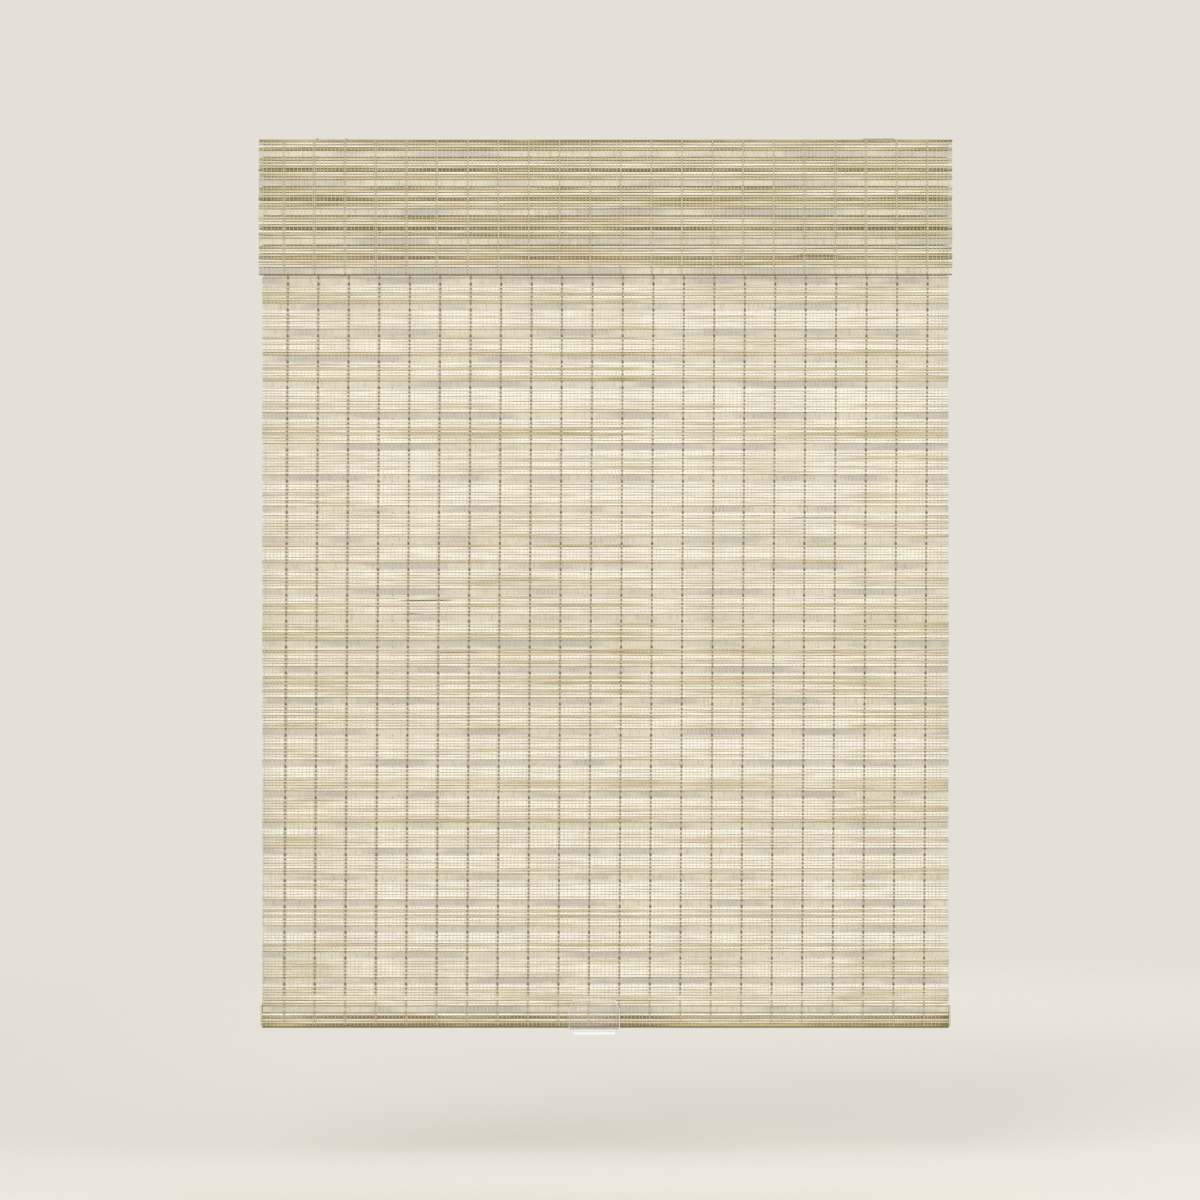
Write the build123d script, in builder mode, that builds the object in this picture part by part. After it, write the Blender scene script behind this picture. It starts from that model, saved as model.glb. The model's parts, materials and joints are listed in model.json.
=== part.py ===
import os

from build123d import *

# A cordless woven wood shade for the inside of a window recess, fully lowered, in millimetres.
# X runs along the width, the front faces -Y and Z points up. The origin is the middle of the four bracket
# screws, on the plane where the brackets meet the head of the recess.

# Small moulded rounds, such as hubs, drums and rings, are many-sided, because the mats have many faces
round_sides = 16
ring_sides = 8

# Reed mat: rows of round reeds between flat slats, the same in the panel, the valance and the hem
reed_pitch = 3.0
reed_depth = 2.6
neck_depth = 1.0
flat_height = 7.3
flat_depth = 1.6
slit_height = 1.0
warp_pitch = 34.5
warp_width = 1.3
warp_depth = 0.4
warp_margin = 10.0
warp_stop = 2.5

# Panel
panel_width = 778.0
panel_top_gap = 5.2
panel_top_reeds = 2
panel_end_reeds = 6
narrow_reeds = 7
wide_reeds = 9
top_bay_count = 9
middle_bay_count = 5
low_bay_count = 6
bay_runs = [
    (narrow_reeds, top_bay_count),
    (wide_reeds, middle_bay_count),
    (narrow_reeds, middle_bay_count),
    (wide_reeds, middle_bay_count),
    (narrow_reeds, low_bay_count),
]
slits_per_row = 2
slit_bridge = 5.0

# Valance
valance_width = 785.0
valance_top_gap = 2.0
valance_top_reeds = 4
valance_bay_reeds = 8
valance_bay_count = 4
valance_reed_pitch = 3.1
flap_reeds = 8
fold_round = 1.4
flap_slit = 0.3
flap_clearance = 0.4

# Bottom hem, its bar and what is fastened to it
hem_top_reeds = 2
hem_low_reeds = 5
hem_round = 2.0
hem_wall = 2.6
pocket_clearance = 0.1
bar_height = 24.0
bar_depth = 3.0
bar_inset = 9.0
plug_flange = 2.0
anchor_width = 9.0
anchor_height = 18.0
anchor_depth = 3.6
anchor_stem_side = 3.0
anchor_drop = 3.0

# Handle
handle_offset = -12.7
handle_top_width = 48.6
handle_width = 57.6
handle_flare = 12.6
handle_thickness = 1.6
handle_corner = 2.0
handle_top_rise = 1.0
handle_clearance = 0.3
handle_hook_height = 12.0
lip_width = 46.5
lip_reach = 6.5
lip_thickness = 3.2
lip_drop = 4.8

# Headrail
rail_depth = 50.0
rail_height = 38.0
rail_wall = 1.0
rail_corner = 2.5
rail_lip = 7.0
rail_inset = 2.0
cap_wall = 1.5
cap_lug = 9.0
cap_lug_wall = 1.6
cap_clearance = 0.1

# Brackets and their swivel levers
bracket_inset = 79.0
screw_spacing = 20.0
screw_hole_radius = 2.4
bracket_width = 36.0
bracket_thickness = 1.5
bracket_corner = 3.0
bracket_overhang = 2.0
hook_width = 20.0
hook_reach = 4.5
hook_clearance = 0.2
seat_length = 20.0
lever_thickness = 1.2
lever_gap = 0.2
lever_width = 8.0
lever_overhang = 5.0
lever_hub_radius = 5.5
nose_thickness = 1.4
nose_reach = 3.2
pivot_offset = 9.0
pivot_y = 8.0
rivet_radius = 2.0
rivet_clearance = 0.05
rivet_head_radius = 4.0
rivet_head_height = 1.2

# Tapes and the batten behind the valance
tape_depth = 1.2
tape_height = 24.0
tape_drop = 4.0
tape_inset = 5.5

# Lift shaft, spools and cradles
cord_radius = 0.75
cord_lay = 0.05
cord_warp_inset = 4
cord_inset = 6.5
shaft_z = -23.5
shaft_side = 5.0
shaft_end = 26.5
shaft_clearance = 0.1
spool_radius = 12.0
spool_length = 22.0
spool_flange_radius = 14.5
spool_flange = 1.4
journal_radius = 4.5
journal_clearance = 0.05
journal_reach = 0.4
cradle_wall = 2.2
cradle_base = 1.5
cradle_seat = 0.1
cradle_head = 9.0
cradle_play = 0.4
throat_side = 7.6
throat_bore_radius = 2.0
throat_clearance = 0.2
throat_drop = 1.5
cord_tail = 6.0

# Spring motor
motor_wall = 1.4
motor_corner = 2.0
motor_play = 0.4
motor_seat = 0.1
drum_play = 0.3
strip_width = 12.0
strip_play = 0.3
strip_thickness = 0.5
drum_flange = 1.2
drive_radius = 9.0
drive_coil_radius = 10.4
drive_flange_radius = 11.6
storage_radius = 4.2
storage_coil_radius = 4.9
storage_gap = 0.4
drum_journal_radius = 5.2
post_radius = 2.5
post_clearance = 0.05
coil_lay = 0.05

# Rings
ring_rows = 4
ring_radius = 7.0
ring_hole_radius = 5.2
ring_thickness = 2.0


def mat_height(rows, pitch=reed_pitch):
    """Height of a run of mat, where each flat slat has its slit below it."""
    return sum(pitch if row == "reed" else flat_height + slit_height for row in rows)


def mat_face(rows, top, middle, side, pitch=reed_pitch):
    """Outline of one face of a mat, from the top down: a crest for each reed, a flat for each slat."""
    neck_y = middle + side * neck_depth / 2
    crest_y = middle + side * reed_depth / 2
    flat_y = middle + side * flat_depth / 2
    points = [(neck_y, top)]
    z = top
    for row in rows:
        if row == "reed":
            points.append((crest_y, z - pitch / 2))
            z -= pitch
            points.append((neck_y, z))
        else:
            points[-1] = (flat_y, z)
            z -= flat_height + slit_height
            points.append((flat_y, z))
    return points


def bay(reeds):
    """One flat slat with its slit, and the reeds below it."""
    return ["flat"] + ["reed"] * reeds


# Levels of the headrail and what hangs on its front, from the wall plane down and from the channel forward
rail_top = -(bracket_thickness + lever_thickness + 2 * lever_gap)
rail_bottom = rail_top - rail_height
rail_middle = (rail_top + rail_bottom) / 2
rail_floor = rail_bottom + rail_wall
rail_front = -rail_depth / 2
rail_back = rail_depth / 2
channel_length = panel_width - 2 * rail_inset - 2 * cap_wall
tape_length = channel_length - 2 * tape_inset
bar_length = panel_width - 2 * bar_inset
panel_back = rail_front - tape_depth - warp_depth
panel_middle = panel_back - reed_depth / 2
panel_front = panel_middle - reed_depth / 2
valance_middle = panel_front - warp_depth - flap_clearance - reed_depth - flap_slit - reed_depth / 2
valance_back = valance_middle + reed_depth / 2
valance_front = valance_middle - reed_depth / 2
flap_middle = valance_back + flap_slit + reed_depth / 2
tape_front = panel_front - warp_depth - tape_depth
tape_middle = rail_top - tape_drop - tape_height / 2

# Rows of the three mats
panel_rows = ["reed"] * panel_top_reeds
for reeds, bays in bay_runs:
    panel_rows += bay(reeds) * bays
panel_rows += bay(panel_end_reeds)
panel_top = -panel_top_gap
panel_bottom = panel_top - mat_height(panel_rows)
warp_bottom = panel_bottom + warp_stop
valance_rows = ["reed"] * valance_top_reeds + bay(valance_bay_reeds) * valance_bay_count + ["flat"]
valance_top = -valance_top_gap
valance_fold = valance_top - mat_height(valance_rows, valance_reed_pitch) + slit_height
flap_rows = ["reed"] * flap_reeds + ["flat"]
flap_top = valance_fold + mat_height(flap_rows, valance_reed_pitch) - slit_height
hem_rows = ["reed"] * hem_top_reeds + bay(hem_low_reeds)
hem_fold = panel_bottom - mat_height(hem_rows)
hem_bottom = hem_fold - hem_round

# Places along the width
side_warps = int((panel_width / 2 - warp_margin) / warp_pitch + 0.5)
warp_places = [(i - side_warps + 0.5) * warp_pitch for i in range(2 * side_warps)]
cord_x = (side_warps - cord_warp_inset) * warp_pitch
cord_places = [-cord_x, cord_x]
cord_y = rail_front + cord_inset
side_names = ["left", "right"]
bracket_x = panel_width / 2 - bracket_inset
bracket_places = [-bracket_x, bracket_x]

# Woven panel, with a row of slits below each flat slat that hangs in sight
slit_levels = []
level = panel_top
for row in panel_rows:
    level -= reed_pitch if row == "reed" else flat_height + slit_height
    if row == "flat" and level < valance_fold:
        slit_levels.append(level + slit_height / 2)
slit_pitch = (panel_width - slit_bridge) / slits_per_row
slit_places = [(i - (slits_per_row - 1) / 2) * slit_pitch for i in range(slits_per_row)]

with BuildPart() as woven_panel:
    with BuildSketch(Plane.YZ.offset(-panel_width / 2)):
        with BuildLine():
            front_face = mat_face(panel_rows, panel_top, panel_middle, -1)
            back_face = mat_face(panel_rows, panel_top, panel_middle, 1)
            Polyline(*front_face, *reversed(back_face), close=True)
        make_face()
    extrude(amount=panel_width)
    with BuildSketch(Plane.XZ.offset(-panel_back)):
        with Locations(*[(x, z) for x in slit_places for z in slit_levels]):
            Rectangle(slit_pitch - slit_bridge, slit_height)
    extrude(amount=reed_depth, mode=Mode.SUBTRACT)

# Main warps, lying on the crests of the reeds, front and back
with BuildPart() as warp_threads:
    with BuildSketch(Plane.XY.offset(warp_bottom)):
        with Locations(*[(x, panel_front - warp_depth / 2) for x in warp_places]):
            Rectangle(warp_width, warp_depth)
        with Locations(*[(x, panel_back + warp_depth / 2) for x in warp_places]):
            Rectangle(warp_width, warp_depth)
    extrude(amount=panel_top - warp_bottom)

# Valance: the mat runs down, turns back at its lower edge and ends in a short flap behind
with BuildPart() as valance:
    front_face = mat_face(valance_rows, valance_top, valance_middle, -1, valance_reed_pitch)
    front_face[-1] = (front_face[-1][0], valance_fold)
    flap_face = mat_face(flap_rows, flap_top, flap_middle, 1, valance_reed_pitch)
    flap_face[-1] = (flap_face[-1][0], valance_fold)
    flap_inner = flap_middle - flat_depth / 2
    fold_bottom = ((valance_middle + flap_middle) / 2, valance_fold - fold_round)
    with BuildSketch(Plane.YZ.offset(-valance_width / 2)):
        with BuildLine():
            Polyline(*front_face)
            ThreePointArc(front_face[-1], fold_bottom, flap_face[-1])
            Polyline(*reversed(flap_face), (flap_inner, flap_top), (flap_inner, valance_fold))
            Polyline((flap_inner, valance_fold), (valance_back, valance_fold))
            Polyline((valance_back, valance_fold), (valance_back, valance_top), front_face[0])
        make_face()
    extrude(amount=valance_width)

with BuildPart() as valance_threads:
    with BuildSketch(Plane.XY.offset(valance_fold)):
        with Locations(*[(x, valance_front - warp_depth / 2) for x in warp_places]):
            Rectangle(warp_width, warp_depth)
    extrude(amount=valance_top - valance_fold)

# Tapes that hold the panel on the headrail, and the batten that carries the valance
with BuildPart() as rail_tape:
    with BuildSketch(Plane.XZ.offset(-rail_front)):
        with Locations((0, tape_middle)):
            Rectangle(tape_length, tape_height)
    extrude(amount=tape_depth)

with BuildPart() as valance_tape:
    with BuildSketch(Plane.XZ.offset(-tape_front - tape_depth)):
        with Locations((0, tape_middle)):
            Rectangle(tape_length, tape_height)
    extrude(amount=tape_depth)

with BuildPart() as valance_batten:
    with BuildSketch(Plane.XZ.offset(-tape_front)):
        with Locations((0, tape_middle)):
            Rectangle(tape_length, tape_height)
    extrude(amount=tape_front - valance_back)

# Bottom hem, a pocket sewn shut above the weight bar
hem_front = panel_front
hem_back = panel_front + 2 * hem_wall + bar_depth + 2 * pocket_clearance
hem_front_middle = hem_front + reed_depth / 2
hem_back_middle = hem_back - reed_depth / 2
hem_middle = (hem_front + hem_back) / 2
pocket_height = bar_height + 2 * pocket_clearance
pocket_middle = hem_fold + pocket_height / 2
anchor_z = pocket_middle
anchor_top = panel_bottom - anchor_drop

with BuildPart() as bottom_hem:
    front_face = mat_face(hem_rows, panel_bottom, hem_front_middle, -1)
    back_face = mat_face(hem_rows, panel_bottom, hem_back_middle, 1)
    with BuildSketch(Plane.YZ.offset(-panel_width / 2)):
        with BuildLine():
            Polyline(*front_face)
            ThreePointArc(front_face[-1], (hem_middle, hem_bottom), back_face[-1])
            Polyline(*reversed(back_face), front_face[0])
        make_face()
        with Locations((hem_middle, pocket_middle)):
            Rectangle(bar_depth + 2 * pocket_clearance, pocket_height, mode=Mode.SUBTRACT)
    extrude(amount=panel_width)
    with BuildSketch(Plane.XZ.offset(-hem_middle)):
        with Locations(*[(x, anchor_z) for x in cord_places]):
            Rectangle(anchor_stem_side + 2 * pocket_clearance, anchor_stem_side + 2 * pocket_clearance)
    extrude(amount=-(hem_back - hem_middle), mode=Mode.SUBTRACT)

with BuildPart() as weight_bar:
    with BuildSketch(Plane.YZ):
        with Locations((hem_middle, pocket_middle)):
            Rectangle(bar_depth, bar_height)
    extrude(amount=bar_length / 2, both=True)


def bar_plug(side):
    """Moulded plug at one end of the pocket: a tongue in the pocket and a rounded flange outside it."""
    with BuildPart() as plug:
        with BuildSketch(Plane.YZ.offset(side * bar_length / 2)):
            with Locations((hem_middle, pocket_middle)):
                Rectangle(bar_depth, bar_height)
        extrude(amount=side * (panel_width - bar_length) / 2)
        with BuildSketch(Plane.YZ.offset(side * panel_width / 2)):
            with Locations((hem_middle, pocket_middle)):
                Rectangle(hem_back - hem_front - neck_depth, bar_height)
        extrude(amount=side * plug_flange)
    return plug


bar_plug_left = bar_plug(-1)
bar_plug_right = bar_plug(1)


def cord_anchor(x):
    """Clip on the hem's back: the cord enters it from above, and its stem reaches the bar."""
    with BuildPart() as anchor:
        with BuildSketch(Plane.XZ.offset(-hem_back)):
            with Locations((x, anchor_top - anchor_height / 2)):
                Rectangle(anchor_width, anchor_height)
        extrude(amount=-anchor_depth)
        with BuildSketch(Plane.XZ.offset(-hem_back)):
            with Locations((x, anchor_z)):
                Rectangle(anchor_stem_side, anchor_stem_side)
        extrude(amount=hem_wall)
        with BuildSketch(Plane.XY.offset(anchor_top)):
            with Locations((x, cord_y)):
                RegularPolygon(cord_radius + cord_lay, ring_sides, major_radius=False)
        extrude(amount=-cord_tail, mode=Mode.SUBTRACT)
    return anchor


# Handle: a clear plate on the hem's front, a foot under it, a hook behind it and a lip for the fingers
handle_back = hem_front - handle_clearance
handle_front = handle_back - handle_thickness
handle_top = panel_bottom + handle_top_rise
foot_top = hem_bottom - handle_clearance
foot_bottom = foot_top - handle_thickness
lip_bottom = foot_bottom - lip_drop
hook_front = hem_back + handle_clearance
hook_back = hook_front + handle_thickness

with BuildPart() as handle:
    with BuildSketch(Plane.XZ.offset(-handle_back)):
        with BuildLine():
            half_top = handle_top_width / 2
            half = handle_width / 2
            Polyline(
                (handle_offset - half_top, handle_top),
                (handle_offset + half_top, handle_top),
                (handle_offset + half, handle_top - handle_flare),
                (handle_offset + half, foot_bottom),
                (handle_offset - half, foot_bottom),
                (handle_offset - half, handle_top - handle_flare),
                close=True,
            )
        plate = make_face()
        fillet(plate.vertices().group_by(Axis.Y)[-1], handle_corner)
    extrude(amount=handle_thickness)
    with BuildSketch(Plane.YZ.offset(handle_offset)):
        with BuildLine():
            Polyline(
                (handle_back, foot_top),
                (hook_front, foot_top),
                (hook_front, foot_top + handle_hook_height),
                (hook_back, foot_top + handle_hook_height),
                (hook_back, foot_bottom),
                (handle_back, foot_bottom),
                close=True,
            )
        make_face()
    extrude(amount=handle_width / 2, both=True)
    with BuildSketch(Plane.YZ.offset(handle_offset)):
        with BuildLine():
            tip_y = handle_front - lip_reach
            Line((handle_back, foot_bottom), (handle_back, lip_bottom))
            Line((handle_back, lip_bottom), (tip_y, lip_bottom))
            Line((tip_y, lip_bottom), (tip_y, lip_bottom + lip_thickness))
            RadiusArc((tip_y, lip_bottom + lip_thickness), (handle_front, foot_bottom), -2 * lip_reach)
            Line((handle_front, foot_bottom), (handle_back, foot_bottom))
        make_face()
    extrude(amount=lip_width / 2, both=True)

# Headrail: a rolled channel with bent corners and inward lips, open at the top
with BuildPart() as headrail:
    with BuildSketch(Plane.YZ.offset(-channel_length / 2)):
        with Locations((0, rail_middle)):
            outside = Rectangle(rail_depth, rail_height)
            chamfer(outside.vertices(), rail_corner)
            offset(amount=-rail_wall, mode=Mode.SUBTRACT)
        with Locations((0, rail_top)):
            Rectangle(rail_depth - 2 * rail_lip, 2 * rail_wall, mode=Mode.SUBTRACT)
    extrude(amount=channel_length)
    with BuildSketch(Plane.XY.offset(rail_bottom)):
        with Locations(*[(x, cord_y) for x in cord_places]):
            Rectangle(throat_side + 2 * throat_clearance, throat_side + 2 * throat_clearance)
    extrude(amount=rail_wall, mode=Mode.SUBTRACT)


def end_cap(side):
    """Cap on one end of the channel, with a lug that fits inside it."""
    with BuildPart() as cap:
        with BuildSketch(Plane.YZ.offset(side * channel_length / 2)):
            with Locations((0, rail_middle)):
                outside = Rectangle(rail_depth, rail_height)
            chamfer(outside.vertices(), rail_corner)
        extrude(amount=side * cap_wall)
        lug_depth = rail_depth - 2 * (rail_wall + rail_corner)
        lug_height = rail_height - 2 * (rail_wall + cap_clearance)
        with BuildSketch(Plane.YZ.offset(side * channel_length / 2)):
            with Locations((0, rail_middle)):
                Rectangle(lug_depth, lug_height)
                Rectangle(lug_depth - 2 * cap_lug_wall, lug_height - 2 * cap_lug_wall, mode=Mode.SUBTRACT)
        extrude(amount=-side * cap_lug)
    return cap


end_cap_left = end_cap(-1)
end_cap_right = end_cap(1)

# Bracket: plate on the wall plane, a hook under the front lip, and seats that rest on both lips
lip_inner = rail_depth / 2 - rail_lip
lip_under = rail_top - rail_wall
bracket_half_depth = rail_depth / 2 + bracket_overhang


def mount_bracket(x, side):
    """Sheet steel bracket whose lever swings out on the given side."""
    with BuildPart() as bracket:
        with BuildSketch(Plane.XY):
            with Locations((x, 0)):
                plate = Rectangle(bracket_width, 2 * bracket_half_depth)
            chamfer(plate.vertices(), bracket_corner)
            with Locations((x, 0)):
                with GridLocations(0, screw_spacing, 1, 2):
                    Circle(screw_hole_radius, mode=Mode.SUBTRACT)
            with Locations((x + side * pivot_offset, pivot_y)):
                RegularPolygon(rivet_radius, ring_sides, major_radius=False, mode=Mode.SUBTRACT)
        extrude(amount=-bracket_thickness)
        web_front = -lip_inner + hook_clearance
        tongue_top = lip_under - hook_clearance
        with BuildSketch(Plane.YZ.offset(x)):
            with BuildLine():
                Polyline(
                    (web_front, -bracket_thickness),
                    (web_front + bracket_thickness, -bracket_thickness),
                    (web_front + bracket_thickness, tongue_top - bracket_thickness),
                    (web_front - hook_reach, tongue_top - bracket_thickness),
                    (web_front - hook_reach, tongue_top),
                    (web_front, tongue_top),
                    close=True,
                )
            make_face()
        extrude(amount=hook_width / 2, both=True)
        edge_x = bracket_width / 2 - bracket_thickness / 2
        with BuildSketch(Plane.XY.offset(-bracket_thickness)):
            with Locations(*[(x + s * edge_x, seat_length / 2 - rail_depth / 2) for s in (-1, 1)]):
                Rectangle(bracket_thickness, seat_length)
            with Locations((x - side * edge_x, rail_depth / 2 - rail_lip / 2)):
                Rectangle(bracket_thickness, rail_lip)
        extrude(amount=rail_top + bracket_thickness)
    return bracket


def bracket_lever(x):
    """Lever that points to the rear when locked: a tab over the rear lip and a nose under it."""
    lever_top = -bracket_thickness - lever_gap
    nose_top = lip_under - lever_gap
    nose_bottom = nose_top - nose_thickness
    tab_end = rail_depth / 2 + lever_overhang
    with BuildPart() as lever:
        with BuildSketch(Plane.XY.offset(lever_top)):
            with BuildLine():
                half = lever_width / 2
                Polyline(
                    (x - half, pivot_y),
                    (x - half, tab_end - half / 2),
                    (x - half / 2, tab_end),
                    (x + half / 2, tab_end),
                    (x + half, tab_end - half / 2),
                    (x + half, pivot_y),
                    close=True,
                )
            make_face()
        extrude(amount=-lever_thickness)
        with BuildSketch(Plane.XY.offset(lever_top)):
            with Locations((x, pivot_y)):
                RegularPolygon(lever_hub_radius, round_sides)
        extrude(amount=nose_bottom - lever_top)
        with BuildSketch(Plane.XY.offset(nose_top)):
            with Locations((x, (pivot_y + lip_inner + nose_reach) / 2)):
                Rectangle(lever_width, lip_inner + nose_reach - pivot_y)
        extrude(amount=-nose_thickness)
        with BuildSketch(Plane.XY.offset(lever_top)):
            with Locations((x, pivot_y)):
                RegularPolygon(rivet_radius + rivet_clearance, ring_sides, major_radius=False)
        extrude(amount=nose_bottom - lever_top, mode=Mode.SUBTRACT)
    return lever


def bracket_rivet(x):
    """Rivet flush with the plate, its head under the lever."""
    head_top = lip_under - 2 * lever_gap - nose_thickness
    with BuildPart() as rivet:
        with BuildSketch(Plane.XY):
            with Locations((x, pivot_y)):
                Circle(rivet_radius)
        extrude(amount=head_top)
        with BuildSketch(Plane.XY.offset(head_top)):
            with Locations((x, pivot_y)):
                RegularPolygon(rivet_head_radius, ring_sides)
        extrude(amount=-rivet_head_height)
    return rivet


# Lift shaft and spools. The cord leaves each spool at the front and drops straight down
shaft_y = cord_y + spool_radius + cord_radius + cord_lay
bore_side = shaft_side + 2 * shaft_clearance
spool_total = spool_length + 2 * spool_flange
cradle_inner = spool_total + 2 * cradle_play
journal_length = cradle_play + cradle_wall + journal_reach

with BuildPart() as lift_shaft:
    with BuildSketch(Plane.YZ):
        with Locations((shaft_y, shaft_z)):
            Rectangle(shaft_side, shaft_side)
    extrude(amount=cord_x + shaft_end, both=True)


def cord_spool(x):
    """Winding spool with a flange and a journal at each end, and a square bore for the shaft."""
    with BuildPart() as spool:
        for radius, length in (
            (spool_radius, spool_length / 2),
            (journal_radius, spool_total / 2 + journal_length),
        ):
            with BuildSketch(Plane.YZ.offset(x)):
                with Locations((shaft_y, shaft_z)):
                    RegularPolygon(radius, round_sides)
            extrude(amount=length, both=True)
        for side in (-1, 1):
            with BuildSketch(Plane.YZ.offset(x + side * spool_length / 2)):
                with Locations((shaft_y, shaft_z)):
                    RegularPolygon(spool_flange_radius, round_sides)
            extrude(amount=side * spool_flange)
        with BuildSketch(Plane.YZ.offset(x)):
            with Locations((shaft_y, shaft_z)):
                Rectangle(bore_side, bore_side)
        extrude(amount=spool_total / 2 + journal_length, both=True, mode=Mode.SUBTRACT)
    return spool


def cord_cradle(x):
    """Bearing for one spool: two slotted walls on a base, and the throat through the headrail's floor."""
    base_half = shaft_y - rail_front - rail_wall - rail_corner - cradle_seat
    base_top = rail_floor + cradle_base
    with BuildPart() as cradle:
        with BuildSketch(Plane.XY.offset(rail_floor)):
            with Locations((x, shaft_y)):
                Rectangle(cradle_inner + 2 * cradle_wall, 2 * base_half)
        extrude(amount=cradle_base)
        for side in (-1, 1):
            with BuildSketch(Plane.YZ.offset(x + side * cradle_inner / 2)):
                with BuildLine():
                    Polyline(
                        (shaft_y - base_half, base_top),
                        (shaft_y + base_half, base_top),
                        (shaft_y + cradle_head, shaft_z + journal_radius),
                        (shaft_y - cradle_head, shaft_z + journal_radius),
                        close=True,
                    )
                make_face()
                with Locations((shaft_y, shaft_z)):
                    slot_radius = journal_radius + journal_clearance
                    RegularPolygon(slot_radius, round_sides, major_radius=False, mode=Mode.SUBTRACT)
                with Locations((shaft_y, shaft_z + journal_radius)):
                    Rectangle(2 * slot_radius, 2 * journal_radius, mode=Mode.SUBTRACT)
            extrude(amount=side * cradle_wall)
        with BuildSketch(Plane.XY.offset(rail_bottom - throat_drop)):
            with Locations((x, cord_y)):
                Rectangle(throat_side, throat_side)
        extrude(amount=rail_wall + throat_drop)
        with BuildSketch(Plane.XY.offset(rail_bottom - throat_drop)):
            with Locations((x, cord_y)):
                RegularPolygon(throat_bore_radius, ring_sides, major_radius=False)
        extrude(amount=throat_drop + rail_wall + cradle_base, mode=Mode.SUBTRACT)
    return cradle


def lift_cord(x):
    """Cord from its spool's front, straight down through the rings to its anchor."""
    with BuildPart() as cord:
        with BuildSketch(Plane.XY.offset(shaft_z)):
            with Locations((x, cord_y)):
                RegularPolygon(cord_radius, ring_sides)
        extrude(amount=anchor_top - cord_tail - shaft_z)
    return cord


# Spring motor between the spools: a strip of spring steel winds from the drive drum to the storage drum
drum_length = strip_width + 2 * strip_play + 2 * drum_flange
motor_inner = drum_length + 2 * drum_play
motor_front = shaft_y - drive_flange_radius - motor_play - motor_wall
motor_back = rail_back - rail_wall - motor_seat
storage_front = shaft_y + drive_flange_radius + storage_gap
storage_back = motor_back - motor_wall - motor_play
storage_y = (storage_front + storage_back) / 2
storage_flange_radius = (storage_back - storage_front) / 2
motor_top = shaft_z + drive_flange_radius + motor_play + motor_wall
motor_middle = ((motor_front + motor_back) / 2, (motor_top + rail_floor) / 2)
motor_size = (motor_back - motor_front, motor_top - rail_floor)
case_open = motor_inner / 2
case_shut = -motor_inner / 2
hub_bore_radius = drum_journal_radius + post_clearance

with BuildPart() as motor_housing:
    with BuildSketch(Plane.YZ.offset(case_shut - motor_wall)):
        with Locations(motor_middle):
            corners = Rectangle(*motor_size)
        chamfer(corners.vertices(), motor_corner)
    extrude(amount=motor_inner + motor_wall)
    with BuildSketch(Plane.YZ.offset(case_shut)):
        with Locations(motor_middle):
            Rectangle(motor_size[0] - 2 * motor_wall, motor_size[1] - 2 * motor_wall)
    extrude(amount=motor_inner, mode=Mode.SUBTRACT)
    with BuildSketch(Plane.YZ.offset(case_shut)):
        with Locations((storage_y, shaft_z)):
            Circle(post_radius)
    extrude(amount=motor_inner + motor_wall)
    with BuildSketch(Plane.YZ.offset(case_shut - motor_wall)):
        with Locations((shaft_y, shaft_z)):
            RegularPolygon(hub_bore_radius, round_sides, major_radius=False)
    extrude(amount=motor_wall, mode=Mode.SUBTRACT)

with BuildPart() as motor_cover:
    with BuildSketch(Plane.YZ.offset(case_open)):
        with Locations(motor_middle):
            corners = Rectangle(*motor_size)
        chamfer(corners.vertices(), motor_corner)
        with Locations((storage_y, shaft_z)):
            RegularPolygon(post_radius, ring_sides, major_radius=False, mode=Mode.SUBTRACT)
        with Locations((shaft_y, shaft_z)):
            RegularPolygon(hub_bore_radius, round_sides, major_radius=False, mode=Mode.SUBTRACT)
    extrude(amount=motor_wall)

with BuildPart() as drive_drum:
    for radius, half_length in ((drive_radius, drum_length / 2), (drum_journal_radius, case_open + motor_wall)):
        with BuildSketch(Plane.YZ.offset(-half_length)):
            with Locations((shaft_y, shaft_z)):
                RegularPolygon(radius, round_sides)
        extrude(amount=2 * half_length)
    for start in (-drum_length / 2, drum_length / 2 - drum_flange):
        with BuildSketch(Plane.YZ.offset(start)):
            with Locations((shaft_y, shaft_z)):
                RegularPolygon(drive_flange_radius, round_sides)
        extrude(amount=drum_flange)
    with BuildSketch(Plane.YZ.offset(case_shut - motor_wall)):
        with Locations((shaft_y, shaft_z)):
            Rectangle(bore_side, bore_side)
    extrude(amount=motor_inner + 2 * motor_wall, mode=Mode.SUBTRACT)

with BuildPart() as storage_drum:
    with BuildSketch(Plane.YZ.offset(-drum_length / 2)):
        with Locations((storage_y, shaft_z)):
            RegularPolygon(storage_radius, round_sides)
    extrude(amount=drum_length)
    for start in (-drum_length / 2, drum_length / 2 - drum_flange):
        with BuildSketch(Plane.YZ.offset(start)):
            with Locations((storage_y, shaft_z)):
                RegularPolygon(storage_flange_radius, round_sides)
        extrude(amount=drum_flange)
    with BuildSketch(Plane.YZ.offset(-drum_length / 2)):
        with Locations((storage_y, shaft_z)):
            RegularPolygon(post_radius + post_clearance, ring_sides, major_radius=False)
    extrude(amount=drum_length, mode=Mode.SUBTRACT)

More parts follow.
